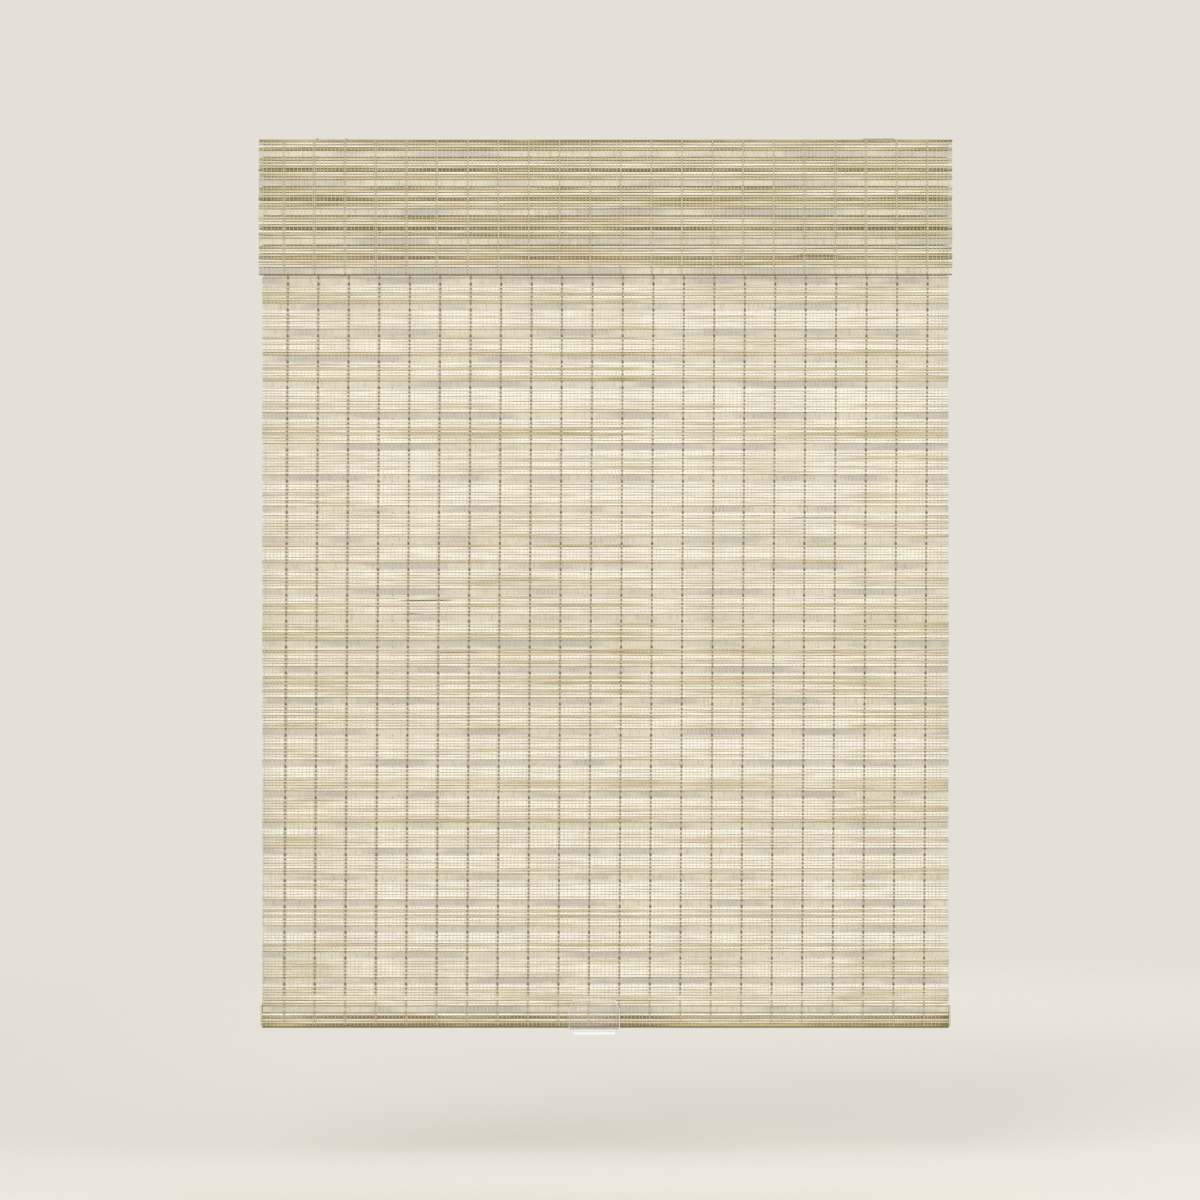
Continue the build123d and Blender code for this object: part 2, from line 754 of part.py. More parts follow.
# The spring strip: a coil on each drum and the span between them, from top to top
with BuildPart() as motor_spring:
    with BuildSketch(Plane.YZ.offset(-strip_width / 2)):
        with Locations((shaft_y, shaft_z)):
            RegularPolygon(drive_coil_radius, round_sides, major_radius=False)
        with Locations((storage_y, shaft_z)):
            RegularPolygon(storage_coil_radius, round_sides, major_radius=False)
        with BuildLine():
            Polyline(
                (shaft_y, shaft_z + drive_coil_radius - strip_thickness),
                (shaft_y, shaft_z + drive_coil_radius),
                (storage_y, shaft_z + storage_coil_radius),
                (storage_y, shaft_z + storage_coil_radius - strip_thickness),
                close=True,
            )
        make_face()
        with Locations((shaft_y, shaft_z)):
            drive_bore = drive_radius + coil_lay
            RegularPolygon(drive_bore, round_sides, major_radius=False, mode=Mode.SUBTRACT)
        with Locations((storage_y, shaft_z)):
            storage_bore = storage_radius + coil_lay
            RegularPolygon(storage_bore, round_sides, major_radius=False, mode=Mode.SUBTRACT)
    extrude(amount=strip_width)

# Rings on the mat's back, a row at each fold
ring_y = panel_back + ring_radius
ring_step = (rail_bottom - panel_bottom) / (ring_rows + 1)


def ring_row(level):
    """One ring for each cord, at one height."""
    with BuildPart() as row:
        with BuildSketch(Plane.XY.offset(level - ring_thickness / 2)):
            with Locations(*[(x, ring_y) for x in cord_places]):
                RegularPolygon(ring_radius, ring_sides)
                RegularPolygon(ring_hole_radius, ring_sides, major_radius=False, mode=Mode.SUBTRACT)
        extrude(amount=ring_thickness)
    return row


pieces = {
    "woven_panel": woven_panel,
    "warp_threads": warp_threads,
    "valance": valance,
    "valance_threads": valance_threads,
    "rail_tape": rail_tape,
    "valance_tape": valance_tape,
    "valance_batten": valance_batten,
    "bottom_hem": bottom_hem,
    "weight_bar": weight_bar,
    "bar_plug_left": bar_plug_left,
    "bar_plug_right": bar_plug_right,
    "handle": handle,
    "headrail": headrail,
    "end_cap_left": end_cap_left,
    "end_cap_right": end_cap_right,
    "lift_shaft": lift_shaft,
    "motor_housing": motor_housing,
    "motor_cover": motor_cover,
    "drive_drum": drive_drum,
    "storage_drum": storage_drum,
    "motor_spring": motor_spring,
}
for name, side, x in zip(side_names, (-1, 1), bracket_places):
    pieces["mount_bracket_" + name] = mount_bracket(x, side)
    pieces["bracket_lever_" + name] = bracket_lever(x + side * pivot_offset)
    pieces["bracket_rivet_" + name] = bracket_rivet(x + side * pivot_offset)
for name, x in zip(side_names, cord_places):
    pieces["cord_anchor_" + name] = cord_anchor(x)
    pieces["cord_spool_" + name] = cord_spool(x)
    pieces["cord_cradle_" + name] = cord_cradle(x)
    pieces["lift_cord_" + name] = lift_cord(x)
for number in range(1, ring_rows + 1):
    pieces[f"ring_row_{number}"] = ring_row(rail_bottom - number * ring_step)

os.makedirs("parts", exist_ok=True)
for name, piece in pieces.items():
    piece.part.label = name
    export_step(piece.part, f"parts/{name}.step")
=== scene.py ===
"""Woven wood shade: reed mats, warps, pull handle, headrail and spring lift, over the frame."""

import json
import math
import random

import bmesh
import bpy
from mathutils import Matrix, Vector, noise


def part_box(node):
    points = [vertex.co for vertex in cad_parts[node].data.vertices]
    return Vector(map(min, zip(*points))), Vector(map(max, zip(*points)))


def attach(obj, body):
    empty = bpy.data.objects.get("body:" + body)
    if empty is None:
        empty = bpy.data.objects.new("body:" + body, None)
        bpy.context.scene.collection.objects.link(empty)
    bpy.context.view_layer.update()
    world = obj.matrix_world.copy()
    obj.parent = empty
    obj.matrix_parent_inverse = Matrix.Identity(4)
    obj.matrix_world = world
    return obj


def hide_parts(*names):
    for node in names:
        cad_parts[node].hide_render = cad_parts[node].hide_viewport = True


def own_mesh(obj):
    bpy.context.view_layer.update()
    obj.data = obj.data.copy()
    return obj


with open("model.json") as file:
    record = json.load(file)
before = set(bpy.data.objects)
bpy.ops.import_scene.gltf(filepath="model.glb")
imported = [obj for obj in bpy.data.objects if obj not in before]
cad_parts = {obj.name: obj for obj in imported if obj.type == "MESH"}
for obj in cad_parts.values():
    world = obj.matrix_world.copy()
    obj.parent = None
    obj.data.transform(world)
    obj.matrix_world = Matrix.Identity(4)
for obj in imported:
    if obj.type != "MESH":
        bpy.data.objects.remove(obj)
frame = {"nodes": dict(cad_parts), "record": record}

bl_info = {
    "name": "Woven Wood Shade",
    "version": (1, 0, 0),
    "blender": (4, 5, 0),
    "location": "View3D > Sidebar > Woven Shade",
    "description": "Reed mats, warps, pull handle and headrail of a woven wood roman shade",
    "category": "Object",
}

# Places that come from the frame
PANEL_LOW, PANEL_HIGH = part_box("woven_panel")
VALANCE_LOW, VALANCE_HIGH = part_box("valance")
HEM_LOW, HEM_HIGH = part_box("bottom_hem")
RAIL_LOW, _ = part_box("headrail")
CORD_LOW, CORD_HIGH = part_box("lift_cord_left")
RING_ROWS = sorted(name for name in frame["nodes"] if name.startswith("ring_row"))
SIDES = ("left", "right")

# The weave, from the top down. A bay is one slat and its reeds: how many reeds, how many bays
PANEL_TOP_REEDS = 2
PANEL_BAYS = ((7, 9), (9, 5), (7, 5), (9, 5), (7, 6))
PANEL_END_REEDS = 6
VALANCE_TOP_REEDS = 4
VALANCE_BAY_REEDS = 8
VALANCE_BAY_COUNT = 4
FLAP_REEDS = 8
HEM_TOP_REEDS = 2
HEM_LOW_REEDS = 5
PANEL_SEED, VALANCE_SEED, HEM_SEED = 11, 29, 43

# Tones run from 0, bleached, to 1, dark brown. The bleached end is partly pale reed and partly
# painted light shining through the mat
PANEL_TONES = (0.0, 0.0, 0.05, 0.12, 0.2, 0.28, 0.38, 0.54)
VALANCE_TOP_TONES = (0.85, 0.5, 0.15, 0.75)
VALANCE_TONES = (0.58, 0.4, 0.2, 0.55, 0.9, 0.22, 0.55, 0.42)
VALANCE_TONE_SPREAD = 0.07
HEM_TOP_TONES = (0.1, 0.25)
HEM_LOW_TONES = (0.05, 0.9, 0.3, 0.5, 0.9)
FOLD_TONES = (1.2,)

# Dark flecks in the reeds: how far below the shade's top, where each starts and ends, how dark
PANEL_MARKS = (
    (0.5240, -0.245, -0.185, 1.0),
    (0.5365, -0.240, -0.190, 0.8),
    (0.5810, -0.196, -0.124, 0.7),
    (0.4300, 0.205, 0.265, 0.7),
)
VALANCE_MARKS = ((0.1330, 0.205, 0.265, 0.8),)
MARK_BAND = (-0.8, 0.2)

# How uneven reeds and slats are: a share of their height or metres, and changes per metre
REED_PLUMP = (0.84, 0.99)
SLAT_PLUMP = (0.96, 1.0)
SWELL, SWELL_PACE = 0.1, 11
WANDER, WANDER_PACE = 0.00022, 4
BOW, BOW_PACE = 0.00012, 6
REED_END, END_TRIM = 0.001, 0.0009
STRETCHES, REED_SIDES = 22, 8

# Fine warps: kinds to copy, how many places the back skips on, and how they stray and lie
THREAD_KINDS, BACK_THREAD_STEP = 3, 3
THREAD_WANDER, THREAD_PACE, THREAD_STRAY = 0.0003, 40, 0.0004
THREAD_REACH, THREAD_CROWN = 0.46, 0.75
FOLD_ARC = (25, 155)

# Main warps: the turn over one reed, how they lie on the mat, and how wide they look
WARP_TURN, WARP_REACH = math.tau / 3, 0.48
WARP_SINK, WARP_TUCK, WARP_RISE = 0.7, 0.5, 0.35
WARP_NARROW, WARP_WIDEN = 0.5, 0.65
# The least painted light on the valance's and hem's main warps
VALANCE_WARP_LIGHT, HEM_WARP_LIGHT = 0.68, 0.5

# Spools with the cord's last turns, and how slim the rings are
SPOOL_DRUM, SPOOL_JOURNAL, SPOOL_BORE = 0.012, 0.0045, 0.0038
SPOOL_WALL, SPOOL_RIM = 0.0124, 0.0014
SPOOL_TURNS, RING_SLIM = 4, 0.95

# The lid screws' pan head, from its seat out: how far out, and the radius there
SCREW_HEAD = ((0.0, 0.0), (0.0, 0.0019), (0.0006, 0.0018), (0.0011, 0.0010), (0.0012, 0.0))
SCREW_INSET = 0.004

# The handle's eased edges, and how far below the hem its grip starts. Both get a painted highlight
HANDLE_EDGE, GRIP_DROP = 0.00055, 0.001

# The stage, in metres, and the shade's place in the picture, in pixels
FLOOR_DROP, FLOOR_RADIUS, FLOOR_FADE = 0.16, 3.4, 3.2
LAMPS = (
    ("key_lamp", (-1.5, -3.2, 0.9), (2.6, 2.6), "key"),
    ("side_lamp", (2.6, -1.6, 0.2), (1.8, 2.4), "fill"),
    ("back_lamp", (0.8, 3.2, 0.8), (2.6, 2.6), "fill"),
)
HALF_PICTURE_PX, SHADE_MIDDLE_PX, SHADE_TOP_PX = 600, 5.5, 140.0


def paint(red, green, blue):
    """Linear colour from display values of 0 to 255."""
    def linear(value):
        value /= 255
        return value / 12.92 if value <= 0.04045 else ((value + 0.055) / 1.055) ** 2.4
    return (linear(red), linear(green), linear(blue))


def length(name, description, default):
    """A size in metres."""
    return bpy.props.FloatProperty(
        name=name, description=description, default=default, unit="LENGTH", precision=5
    )


def colour(name, description, *shown):
    """A colour, shown as a swatch, from display values of 0 to 255."""
    return bpy.props.FloatVectorProperty(
        name=name, description=description, default=paint(*shown), subtype="COLOR", min=0, max=1
    )


def strength(name, description, default):
    """How strong a light is."""
    return bpy.props.FloatProperty(name=name, description=description, default=default)


class WeaveSettings(bpy.types.PropertyGroup):
    """Sizes and colours of the woven mats."""

    reed_pitch: length("Reed pitch", "Height of one row of reed", 0.003)
    reed_depth: length("Reed depth", "Thickness of a round reed", 0.0026)
    slat_height: length("Slat height", "Height of a flat slat", 0.0073)
    slat_depth: length("Slat depth", "Thickness of a flat slat", 0.0012)
    slit_height: length("Slit height", "Gap below each flat slat", 0.001)
    warp_pitch: length("Warp pitch", "Distance between the dark main warps", 0.0345)
    valance_reed_pitch: length("Valance reed pitch", "Height of one reed in the valance", 0.0031)
    valance_warp_pitch: length("Valance warp pitch", "Between the valance's main warps", 0.03465)
    warp_width: length("Warp width", "Width of one strand of a main warp", 0.0011)
    warp_shift: length("Warp shift", "How far right of the middle the main warps start", 0.0033)
    warp_drift: length("Warp drift", "How far the warps lean to the left by the hem", 0.005)
    thread_pitch: length("Thread pitch", "Distance between the pale fine warps", 0.0043)
    thread_width: length("Thread width", "Width of a pale fine warp", 0.0006)
    # The bleached colour is partly pale reed and partly painted light shining through the mat from
    # behind
    bleached_and_backlit: colour("Bleached reed", "The palest reeds", 255, 253, 240)
    cream: colour("Cream reed", "Most of the reeds", 234, 226, 203)
    tan: colour("Tan reed", "The darker reeds", 213, 201, 163)
    olive: colour("Olive reed", "Greenish reeds", 190, 181, 134)
    brown: colour("Brown reed", "The darkest reeds of the valance and hem", 138, 125, 84)
    # The reed edge colour is partly the reed's skin and partly painted shade in the groove between
    # reeds
    edge: colour("Reed edge", "Dark skin left along a reed's edges", 152, 128, 82)
    slat: colour("Slat", "Weathered grey of the flat slats", 184, 179, 168)
    slat_pale: colour("Slat, pale", "Where a slat is less weathered", 216, 209, 186)
    thread: colour("Fine warp", "The pale thread", 222, 213, 188)
    # The main warp's two colours are painted shade and painted light on one yarn
    warp_painted_shade: colour("Main warp, dark", "Where its strands lie side by side", 116, 104, 74)
    warp_painted_light: colour("Main warp, light", "Where its strands cross", 222, 212, 184)


class HardwareSettings(bpy.types.PropertyGroup):
    """Colours of the headrail and the fittings."""

    rail: colour("Headrail", "Baked paint of the rolled channel", 226, 219, 202)
    moulded: colour("Moulded parts", "Caps, cradles and motor case", 228, 226, 220)
    drum: colour("Drums", "Spools and spring drums", 186, 186, 182)
    zinc: colour("Zinc", "Brackets, levers and rivets", 178, 180, 184)
    aluminium: colour("Aluminium", "Weight bar and lift shaft", 190, 191, 194)
    tape: colour("Tape", "Fastening tapes", 226, 221, 206)
    cord: colour("Cord", "Braided lift cords", 232, 228, 214)
    edge_round: length("Edge rounding", "Radius on moulded and pressed edges", 0.0003)


class StageSettings(bpy.types.PropertyGroup):
    """Floor, light and camera."""

    floor: colour("Floor", "The pale floor", 240, 236, 229)
    backdrop: colour("Backdrop", "What the camera sees behind the shade", 228, 224, 216)
    pixel: length("Pixel", "What one pixel of the picture covers at the shade", 0.0011323)
    camera_distance: length("Camera distance", "From the lens to the shade's front", 5.0)
    ambient: strength("Ambient", "Strength of the light from all round", 0.62)
    key: strength("Key", "Power of the large lamp at the front", 62.0)
    fill: strength("Fill", "Power of the lamps at the sides and back", 26.0)


class Wiring:
    """The nodes of a material or a world, laid out step by step."""

    def __init__(self, tree):
        self.tree = tree

    def join(self, source, socket):
        """Link an output to a socket, or write a plain value on it."""
        if isinstance(source, bpy.types.NodeSocket):
            self.tree.links.new(source, socket)
        else:
            socket.default_value = source

    def node(self, kind, inputs=(), output=0, **settings):
        """Add a node, join its inputs in order, and give back one output."""
        made = self.tree.nodes.new(kind)
        for name, value in settings.items():
            setattr(made, name, value)
        for socket, source in inputs:
            self.join(source, made.inputs[socket])
        return made.outputs[output]

    def math(self, operation, first, second, clamp=False):
        """One sum on two numbers."""
        inputs = ((0, first), (1, second))
        return self.node("ShaderNodeMath", inputs, operation=operation, use_clamp=clamp)


class Recipe(Wiring):
    """A material on the standard shader."""

    def __init__(self, name, roughness, **sockets):
        self.material = bpy.data.materials.new(name)
        self.material.use_nodes = True
        super().__init__(self.material.node_tree)
        self.shader = self.tree.nodes["Principled BSDF"]
        self.shader.inputs["Roughness"].default_value = roughness
        for socket, value in sockets.items():
            self.shader.inputs[socket.replace("_", " ")].default_value = value

    def attribute(self, name):
        """One number stored at each point of the mesh."""
        return self.node("ShaderNodeAttribute", output="Fac", attribute_name=name)

    def place(self, *scale):
        """Object coordinates, stretched by one number or by one for each axis."""
        spot = self.node("ShaderNodeTexCoord", output="Object")
        inputs = (("Vector", spot), ("Scale", scale if len(scale) == 3 else scale * 3))
        return self.node("ShaderNodeMapping", inputs)

    def noise(self, where, detail=2.0, roughness=0.5, scale=1.0):
        """Soft noise of 0 to 1."""
        inputs = (("Vector", where), ("Scale", scale), ("Detail", detail), ("Roughness", roughness))
        return self.node("ShaderNodeTexNoise", inputs)

    def between(self, value, low, high, to_high=1.0, to_low=0.0):
        """A number taken smoothly from one range to another."""
        inputs = ((0, value), (1, low), (2, high), (3, to_low), (4, to_high))
        return self.node("ShaderNodeMapRange", inputs, interpolation_type="SMOOTHSTEP")

    def mix(self, share, first, second):
        """Two colours mixed by a share of 0 to 1. They are inputs 6 and 7, and output 2."""
        inputs = ((0, share), (6, self.full(first)), (7, self.full(second)))
        return self.node("ShaderNodeMix", inputs, output=2, data_type="RGBA")

    def ramp(self, value, stops):
        """A colour picked along a run of stops."""
        made = self.tree.nodes.new("ShaderNodeValToRGB")
        elements = made.color_ramp.elements
        while len(elements) < len(stops):
            elements.new(0.5)
        for element, (position, tint) in zip(elements, stops):
            element.position = position
            element.color = self.full(tint)
        self.join(value, made.inputs[0])
        return made.outputs[0]

    def bump(self, height, distance, strength):
        """Relief under the shader's normal."""
        inputs = (("Strength", strength), ("Distance", distance), ("Height", height))
        self.join(self.node("ShaderNodeBump", inputs), self.shader.inputs["Normal"])

    def colour(self, source):
        """The surface colour."""
        self.join(self.full(source), self.shader.inputs["Base Color"])
        return self.material

    @staticmethod
    def full(tint):
        """A colour with its alpha, or the socket itself."""
        return tint if isinstance(tint, bpy.types.NodeSocket) else (*tuple(tint)[:3], 1.0)


def settings():
    """The scene's weave, hardware and stage settings."""
    scene = bpy.context.scene
    return scene.shade_weave, scene.shade_hardware, scene.shade_stage


def darker(tint, share):
    """A deeper shade of a colour."""
    return tuple(part * share for part in tuple(tint)[:3])


def reed_finish(name):
    """Split reed: a drifting tone for each row, a dark edge that is partly skin and partly painted
    shade between reeds, and a fine grain.
    """
    weave = settings()[0]
    recipe = Recipe(name, roughness=0.62, Specular_IOR_Level=0.3)
    tone = recipe.attribute("tone")
    across = recipe.node("ShaderNodeSeparateXYZ", (("Vector", recipe.place(1)),))
    row = recipe.math("MULTIPLY", tone, 61.7)
    own = recipe.node("ShaderNodeCombineXYZ", (("X", across), ("Y", row)))
    long_noise = recipe.noise(own, detail=3.0, roughness=0.6, scale=8.0)
    drift = recipe.between(long_noise, 0.3, 0.7, 0.2, -0.2)
    patch = recipe.between(recipe.noise(recipe.place(4, 0, 90)), 0.45, 0.7, 0.14, -0.06)
    shifted = recipe.math("ADD", tone, recipe.math("ADD", drift, patch), clamp=True)
    # The bleached end of the ramp is partly painted light from behind the mat
    body = recipe.ramp(shifted, (
        (0.0, weave.bleached_and_backlit), (0.3, weave.cream), (0.55, weave.tan),
        (0.75, weave.olive), (1.0, weave.brown),
    ))
    fibres = recipe.noise(recipe.place(70, 400, 2600), detail=4.0, roughness=0.65)
    grained = recipe.mix(recipe.between(fibres, 0.35, 0.7, 0.22), body, weave.edge)
    # The dark along a reed's upper and lower edges is partly its skin and partly painted shade in
    # the groove between reeds
    skin_noise = recipe.noise(recipe.place(13, 0, 340), detail=3.0)
    worn = recipe.between(skin_noise, 0.42, 0.6, to_low=0.15)
    skin_and_shade = recipe.math("MULTIPLY", recipe.between(recipe.attribute("rim"), 0.5, 0.98), worn)
    edged = recipe.mix(recipe.math("MULTIPLY", skin_and_shade, 0.8), grained, weave.edge)
    fleck = recipe.between(recipe.attribute("mark"), 0.4, 1.0)
    marked = recipe.mix(fleck, edged, paint(96, 80, 48))
    recipe.bump(fibres, 0.0002, 0.5)
    return recipe.colour(marked)


def slat_finish(name):
    """Weathered grey slat: long streaks, and a painted shadow line at its upper edge, under the
    reed above.
    """
    weave = settings()[0]
    recipe = Recipe(name, roughness=0.7, Specular_IOR_Level=0.25)
    tone = recipe.attribute("tone")
    streaks = recipe.noise(recipe.place(14, 100, 900), detail=4.0, roughness=0.6)
    patches = recipe.between(recipe.noise(recipe.place(11, 0, 31)), 0.38, 0.62)
    worn = recipe.math("ADD", patches, recipe.math("MULTIPLY", tone, 0.3), clamp=True)
    warm = recipe.mix(worn, weave.slat, weave.slat_pale)
    streaked = recipe.between(streaks, 0.4, 0.75, 0.4)
    shaded = recipe.mix(streaked, warm, paint(178, 170, 154))
    hairs = recipe.between(recipe.noise(recipe.place(460, 40, 40)), 0.5, 0.68, 0.4)
    combed = recipe.mix(hairs, shaded, paint(172, 160, 134))
    # Painted shadow: a dark line along the slat's upper edge, where the reed above overhangs it
    shadow_under_reed = recipe.between(recipe.attribute("rim"), 0.78, 0.98, 0.85)
    recipe.bump(streaks, 0.00015, 0.4)
    return recipe.colour(recipe.mix(shadow_under_reed, combed, paint(118, 104, 74)))


def thread_finish(name):
    """Spun thread: a twist of two close tones."""
    weave = settings()[0]
    recipe = Recipe(name, roughness=0.85, Sheen_Weight=0.2)
    inputs = (("Vector", recipe.place(1500, 1500, 900)), ("Scale", 1.0), ("Distortion", 1.5))
    twist = recipe.node("ShaderNodeTexWave", inputs, bands_direction="DIAGONAL")
    fuzz = recipe.noise(recipe.place(300, 300, 160))
    recipe.bump(twist, 0.0001, 0.5)
    worn = recipe.between(fuzz, 0.3, 0.7, 0.6)
    return recipe.colour(recipe.mix(worn, weave.thread, weave.cream))


def warp_finish(name):
    """Main warp: painted shade where its strands lie side by side between reeds, painted light
    where they cross over a reed.
    """
    weave = settings()[0]
    recipe = Recipe(name, roughness=0.85, Sheen_Weight=0.15)
    fuzz = recipe.noise(recipe.place(500, 500, 240))
    strand_light_and_shade = recipe.mix(recipe.attribute("tone"), weave.warp_painted_shade, weave.warp_painted_light)
    recipe.bump(fuzz, 0.0001, 0.5)
    worn = recipe.between(fuzz, 0.35, 0.7, 0.2)
    return recipe.colour(recipe.mix(worn, strand_light_and_shade, weave.edge))


def painted_finish(name, tint):
    """Baked paint with a faint orange peel."""
    recipe = Recipe(name, roughness=0.42, Coat_Weight=0.1)
    peel = recipe.noise(recipe.place(900), detail=1.0)
    scuffs = recipe.noise(recipe.place(12, 60, 60), detail=5.0, roughness=0.7)
    recipe.bump(peel, 0.00004, 0.25)
    rubbed = recipe.between(scuffs, 0.5, 0.8, 0.12)
    return recipe.colour(recipe.mix(rubbed, tint, paint(170, 162, 148)))


def moulded_finish(name, tint, roughness=0.5):
    """Injection moulded plastic with a fine spark texture."""
    recipe = Recipe(name, roughness=roughness, IOR=1.49)
    spark = recipe.noise(recipe.place(2400))
    cloud = recipe.noise(recipe.place(25))
    recipe.bump(spark, 0.00003, 0.3)
    clouded = recipe.between(cloud, 0.35, 0.75, 0.35)
    return recipe.colour(recipe.mix(clouded, tint, darker(tint, 0.86)))


def metal_finish(name, tint, *grain):
    """Drawn or plated metal, brushed along its length."""
    recipe = Recipe(name, roughness=0.38, Metallic=1.0)
    brushed = recipe.noise(recipe.place(*grain), detail=5.0, roughness=0.7)
    recipe.bump(brushed, 0.00003, 0.3)
    dulled = recipe.between(brushed, 0.3, 0.7, 0.5)
    return recipe.colour(recipe.mix(dulled, tint, darker(tint, 0.72)))


def tape_finish(name, tint):
    """Woven tape or braid, with a fine check."""
    recipe = Recipe(name, roughness=0.9, Sheen_Weight=0.3)
    inputs = (("Vector", recipe.place(1400)), ("Scale", 1.0))
    woven = recipe.node("ShaderNodeTexChecker", inputs, output="Fac")
    recipe.bump(woven, 0.0001, 0.5)
    soft = recipe.between(recipe.noise(recipe.place(40)), 0.3, 0.7, 0.25)
    return recipe.colour(recipe.mix(soft, tint, paint(190, 184, 166)))


def clear_finish(name, body):
    """Clear polycarbonate at the given alpha. At a high alpha its near-white colour is a painted
    highlight.
    """
    recipe = Recipe(name, roughness=0.08, IOR=1.46, Specular_IOR_Level=0.6, Alpha=body)
    ripple = recipe.noise(recipe.place(120), detail=1.0)
    recipe.bump(ripple, 0.00002, 0.15)
    haze = recipe.noise(recipe.place(60))
    return recipe.colour(recipe.mix(haze, paint(252, 252, 250), paint(244, 246, 246)))


def mesh_from(bm, name):
    """A mesh of what a bmesh holds. The bmesh ends there."""
    mesh = bpy.data.meshes.new(name)
    bm.to_mesh(mesh)
    bm.free()
    return mesh


def put(name, data):
    """A new object in the scene."""
    made = bpy.data.objects.new(name, data)
    bpy.context.scene.collection.objects.link(made)
    return made


def piece(name, bm, materials, body, smooth=False):
    """Turn a bmesh into an object of the shade that rides on a body."""
    mesh = mesh_from(bm, name)
    for material in materials:
        mesh.materials.append(material)
    if smooth:
        mesh.shade_smooth()
    made = put(name, mesh)
    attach(made, body)
    return made


def bay(reeds):
    """One flat slat and the reeds below it."""
    return ["slat"] + ["reed"] * reeds


def laid_rows(kinds, top, pitch):
    """Each row of a mat as (kind, middle height, reed number or None), from the top down."""
    weave = settings()[0]
    rows, z, reeds = [], top, 0
    for kind in kinds:
        is_reed = kind == "reed"
        tall = pitch if is_reed else weave.slat_height
        rows.append((kind, z - tall / 2, reeds if is_reed else None))
        z -= tall if is_reed else tall + weave.slit_height
        reeds = reeds + 1 if is_reed else 0
    return rows


def panel_rows():
    """The panel's rows, from its top edge to the hem."""
    kinds = ["reed"] * PANEL_TOP_REEDS
    for reeds, count in PANEL_BAYS:
        kinds += bay(reeds) * count
    return laid_rows(kinds + bay(PANEL_END_REEDS), PANEL_HIGH.z, settings()[0].reed_pitch)


def folded_planes(low, high):
    """The front and back planes of a mat that is folded back on itself."""
    half = settings()[0].reed_depth / 2
    return low.y + half, high.y - half


def template(bm):
    """A mesh that is copied many times into a larger one."""
    bmesh.ops.recalc_face_normals(bm, faces=bm.faces[:])
    return mesh_from(bm, "template")


def long_edges(bm, width):
    """The edges that run the length of a reed or a slat."""
    return [e for e in bm.edges if abs(e.verts[0].co.x - e.verts[1].co.x) > width / 2]


def reed_template(width):
    """A round reed along X, cut into stretches so that it can wander."""
    weave = settings()[0]
    bm = bmesh.new()
    bmesh.ops.create_cone(
        bm, cap_ends=True, segments=REED_SIDES, radius1=0.5, radius2=0.5, depth=width,
        matrix=Matrix.Rotation(math.pi / 2, 4, "Y"),
    )
    bmesh.ops.scale(bm, vec=(1, weave.reed_depth, weave.reed_pitch), verts=bm.verts[:])
    bmesh.ops.subdivide_edges(bm, edges=long_edges(bm, width), cuts=STRETCHES)
    for face in bm.faces:
        face.smooth = abs(face.normal.x) < 0.5
    return template(bm)


def slat_template(width):
    """A flat slat along X with eased edges."""
    weave = settings()[0]
    bm = bmesh.new()
    size = Matrix.Diagonal((width, weave.slat_depth, weave.slat_height, 1))
    bmesh.ops.create_cube(bm, size=1, matrix=size)
    bmesh.ops.bevel(
        bm, geom=long_edges(bm, width), offset=weave.slat_depth / 4, segments=2, profile=0.5,
        affect="EDGES", material=-1,
    )
    bmesh.ops.subdivide_edges(bm, edges=long_edges(bm, width), cuts=STRETCHES)
    for face in bm.faces:
        face.material_index = 1
    return template(bm)


def add_copy(bm, mesh):
    """Copy a template into a bmesh and give back its new points."""
    start = len(bm.verts)
    bm.from_mesh(mesh)
    bm.verts.ensure_lookup_table()
    return bm.verts[start:]


def point_layer(bm, name):
    """The layer of that name, with one number at each point."""
    layers = bm.verts.layers.float
    return layers.get(name) or layers.new(name)


def waver(along, pace, seed, kind):
    """Soft noise of -1 to 1 along a reed or a thread. Each kind runs by itself."""
    return noise.noise(Vector((along * pace, seed, kind)))


def lay_mat(bm, rows, width, middle, tones, rng, marks=()):
    """Lay reeds and slats row by row. middle is the y of the mat's own plane."""
    weave = settings()[0]
    reed = reed_template(width)
    slat = slat_template(width)
    tone_of, rim_of, mark_of = [point_layer(bm, name) for name in ("tone", "rim", "mark")]
    lowest, highest = MARK_BAND
    for kind, z, number in rows:
        is_reed = kind == "reed"
        verts = add_copy(bm, reed if is_reed else slat)
        half = (weave.reed_pitch if is_reed else weave.slat_height) / 2
        tone = tones(number, rng) if is_reed else rng.random()
        plump = rng.uniform(*REED_PLUMP) if is_reed else rng.uniform(*SLAT_PLUMP)
        seed = rng.uniform(0, 1000)
        trims = (rng.uniform(0, END_TRIM), rng.uniform(0, END_TRIM))
        for v in verts:
            x, share = v.co.x, v.co.z / half
            if abs(x) > width / 2 - REED_END:
                v.co.x -= math.copysign(trims[x > 0], x)
            swell = 1 + SWELL * waver(x, SWELL_PACE, seed, 0)
            wander = WANDER * waver(x, WANDER_PACE, seed, 7)
            v.co.y = middle + v.co.y * swell + BOW * waver(x, BOW_PACE, seed, 3)
            if is_reed:
                v.co.z = z + v.co.z * plump * swell + wander
            else:
                v.co.z = z + v.co.z * plump + wander * 0.5
            v[tone_of] = tone
            v[rim_of] = abs(share) if is_reed else share
            for down, start, end, dark in marks:
                on_row = is_reed and abs(down + z) < half
                if on_row and start < x < end and lowest < share < highest:
                    v[mark_of] = dark
    bpy.data.meshes.remove(reed)
    bpy.data.meshes.remove(slat)


def frame_at(point, outward, wide):
    """A place on a strand: X across it, Y out of the mat."""
    along = Vector((1, 0, 0)).cross(outward)
    matrix = Matrix((Vector((wide, 0, 0)), outward, along)).transposed().to_4x4()
    matrix.translation = point
    return matrix


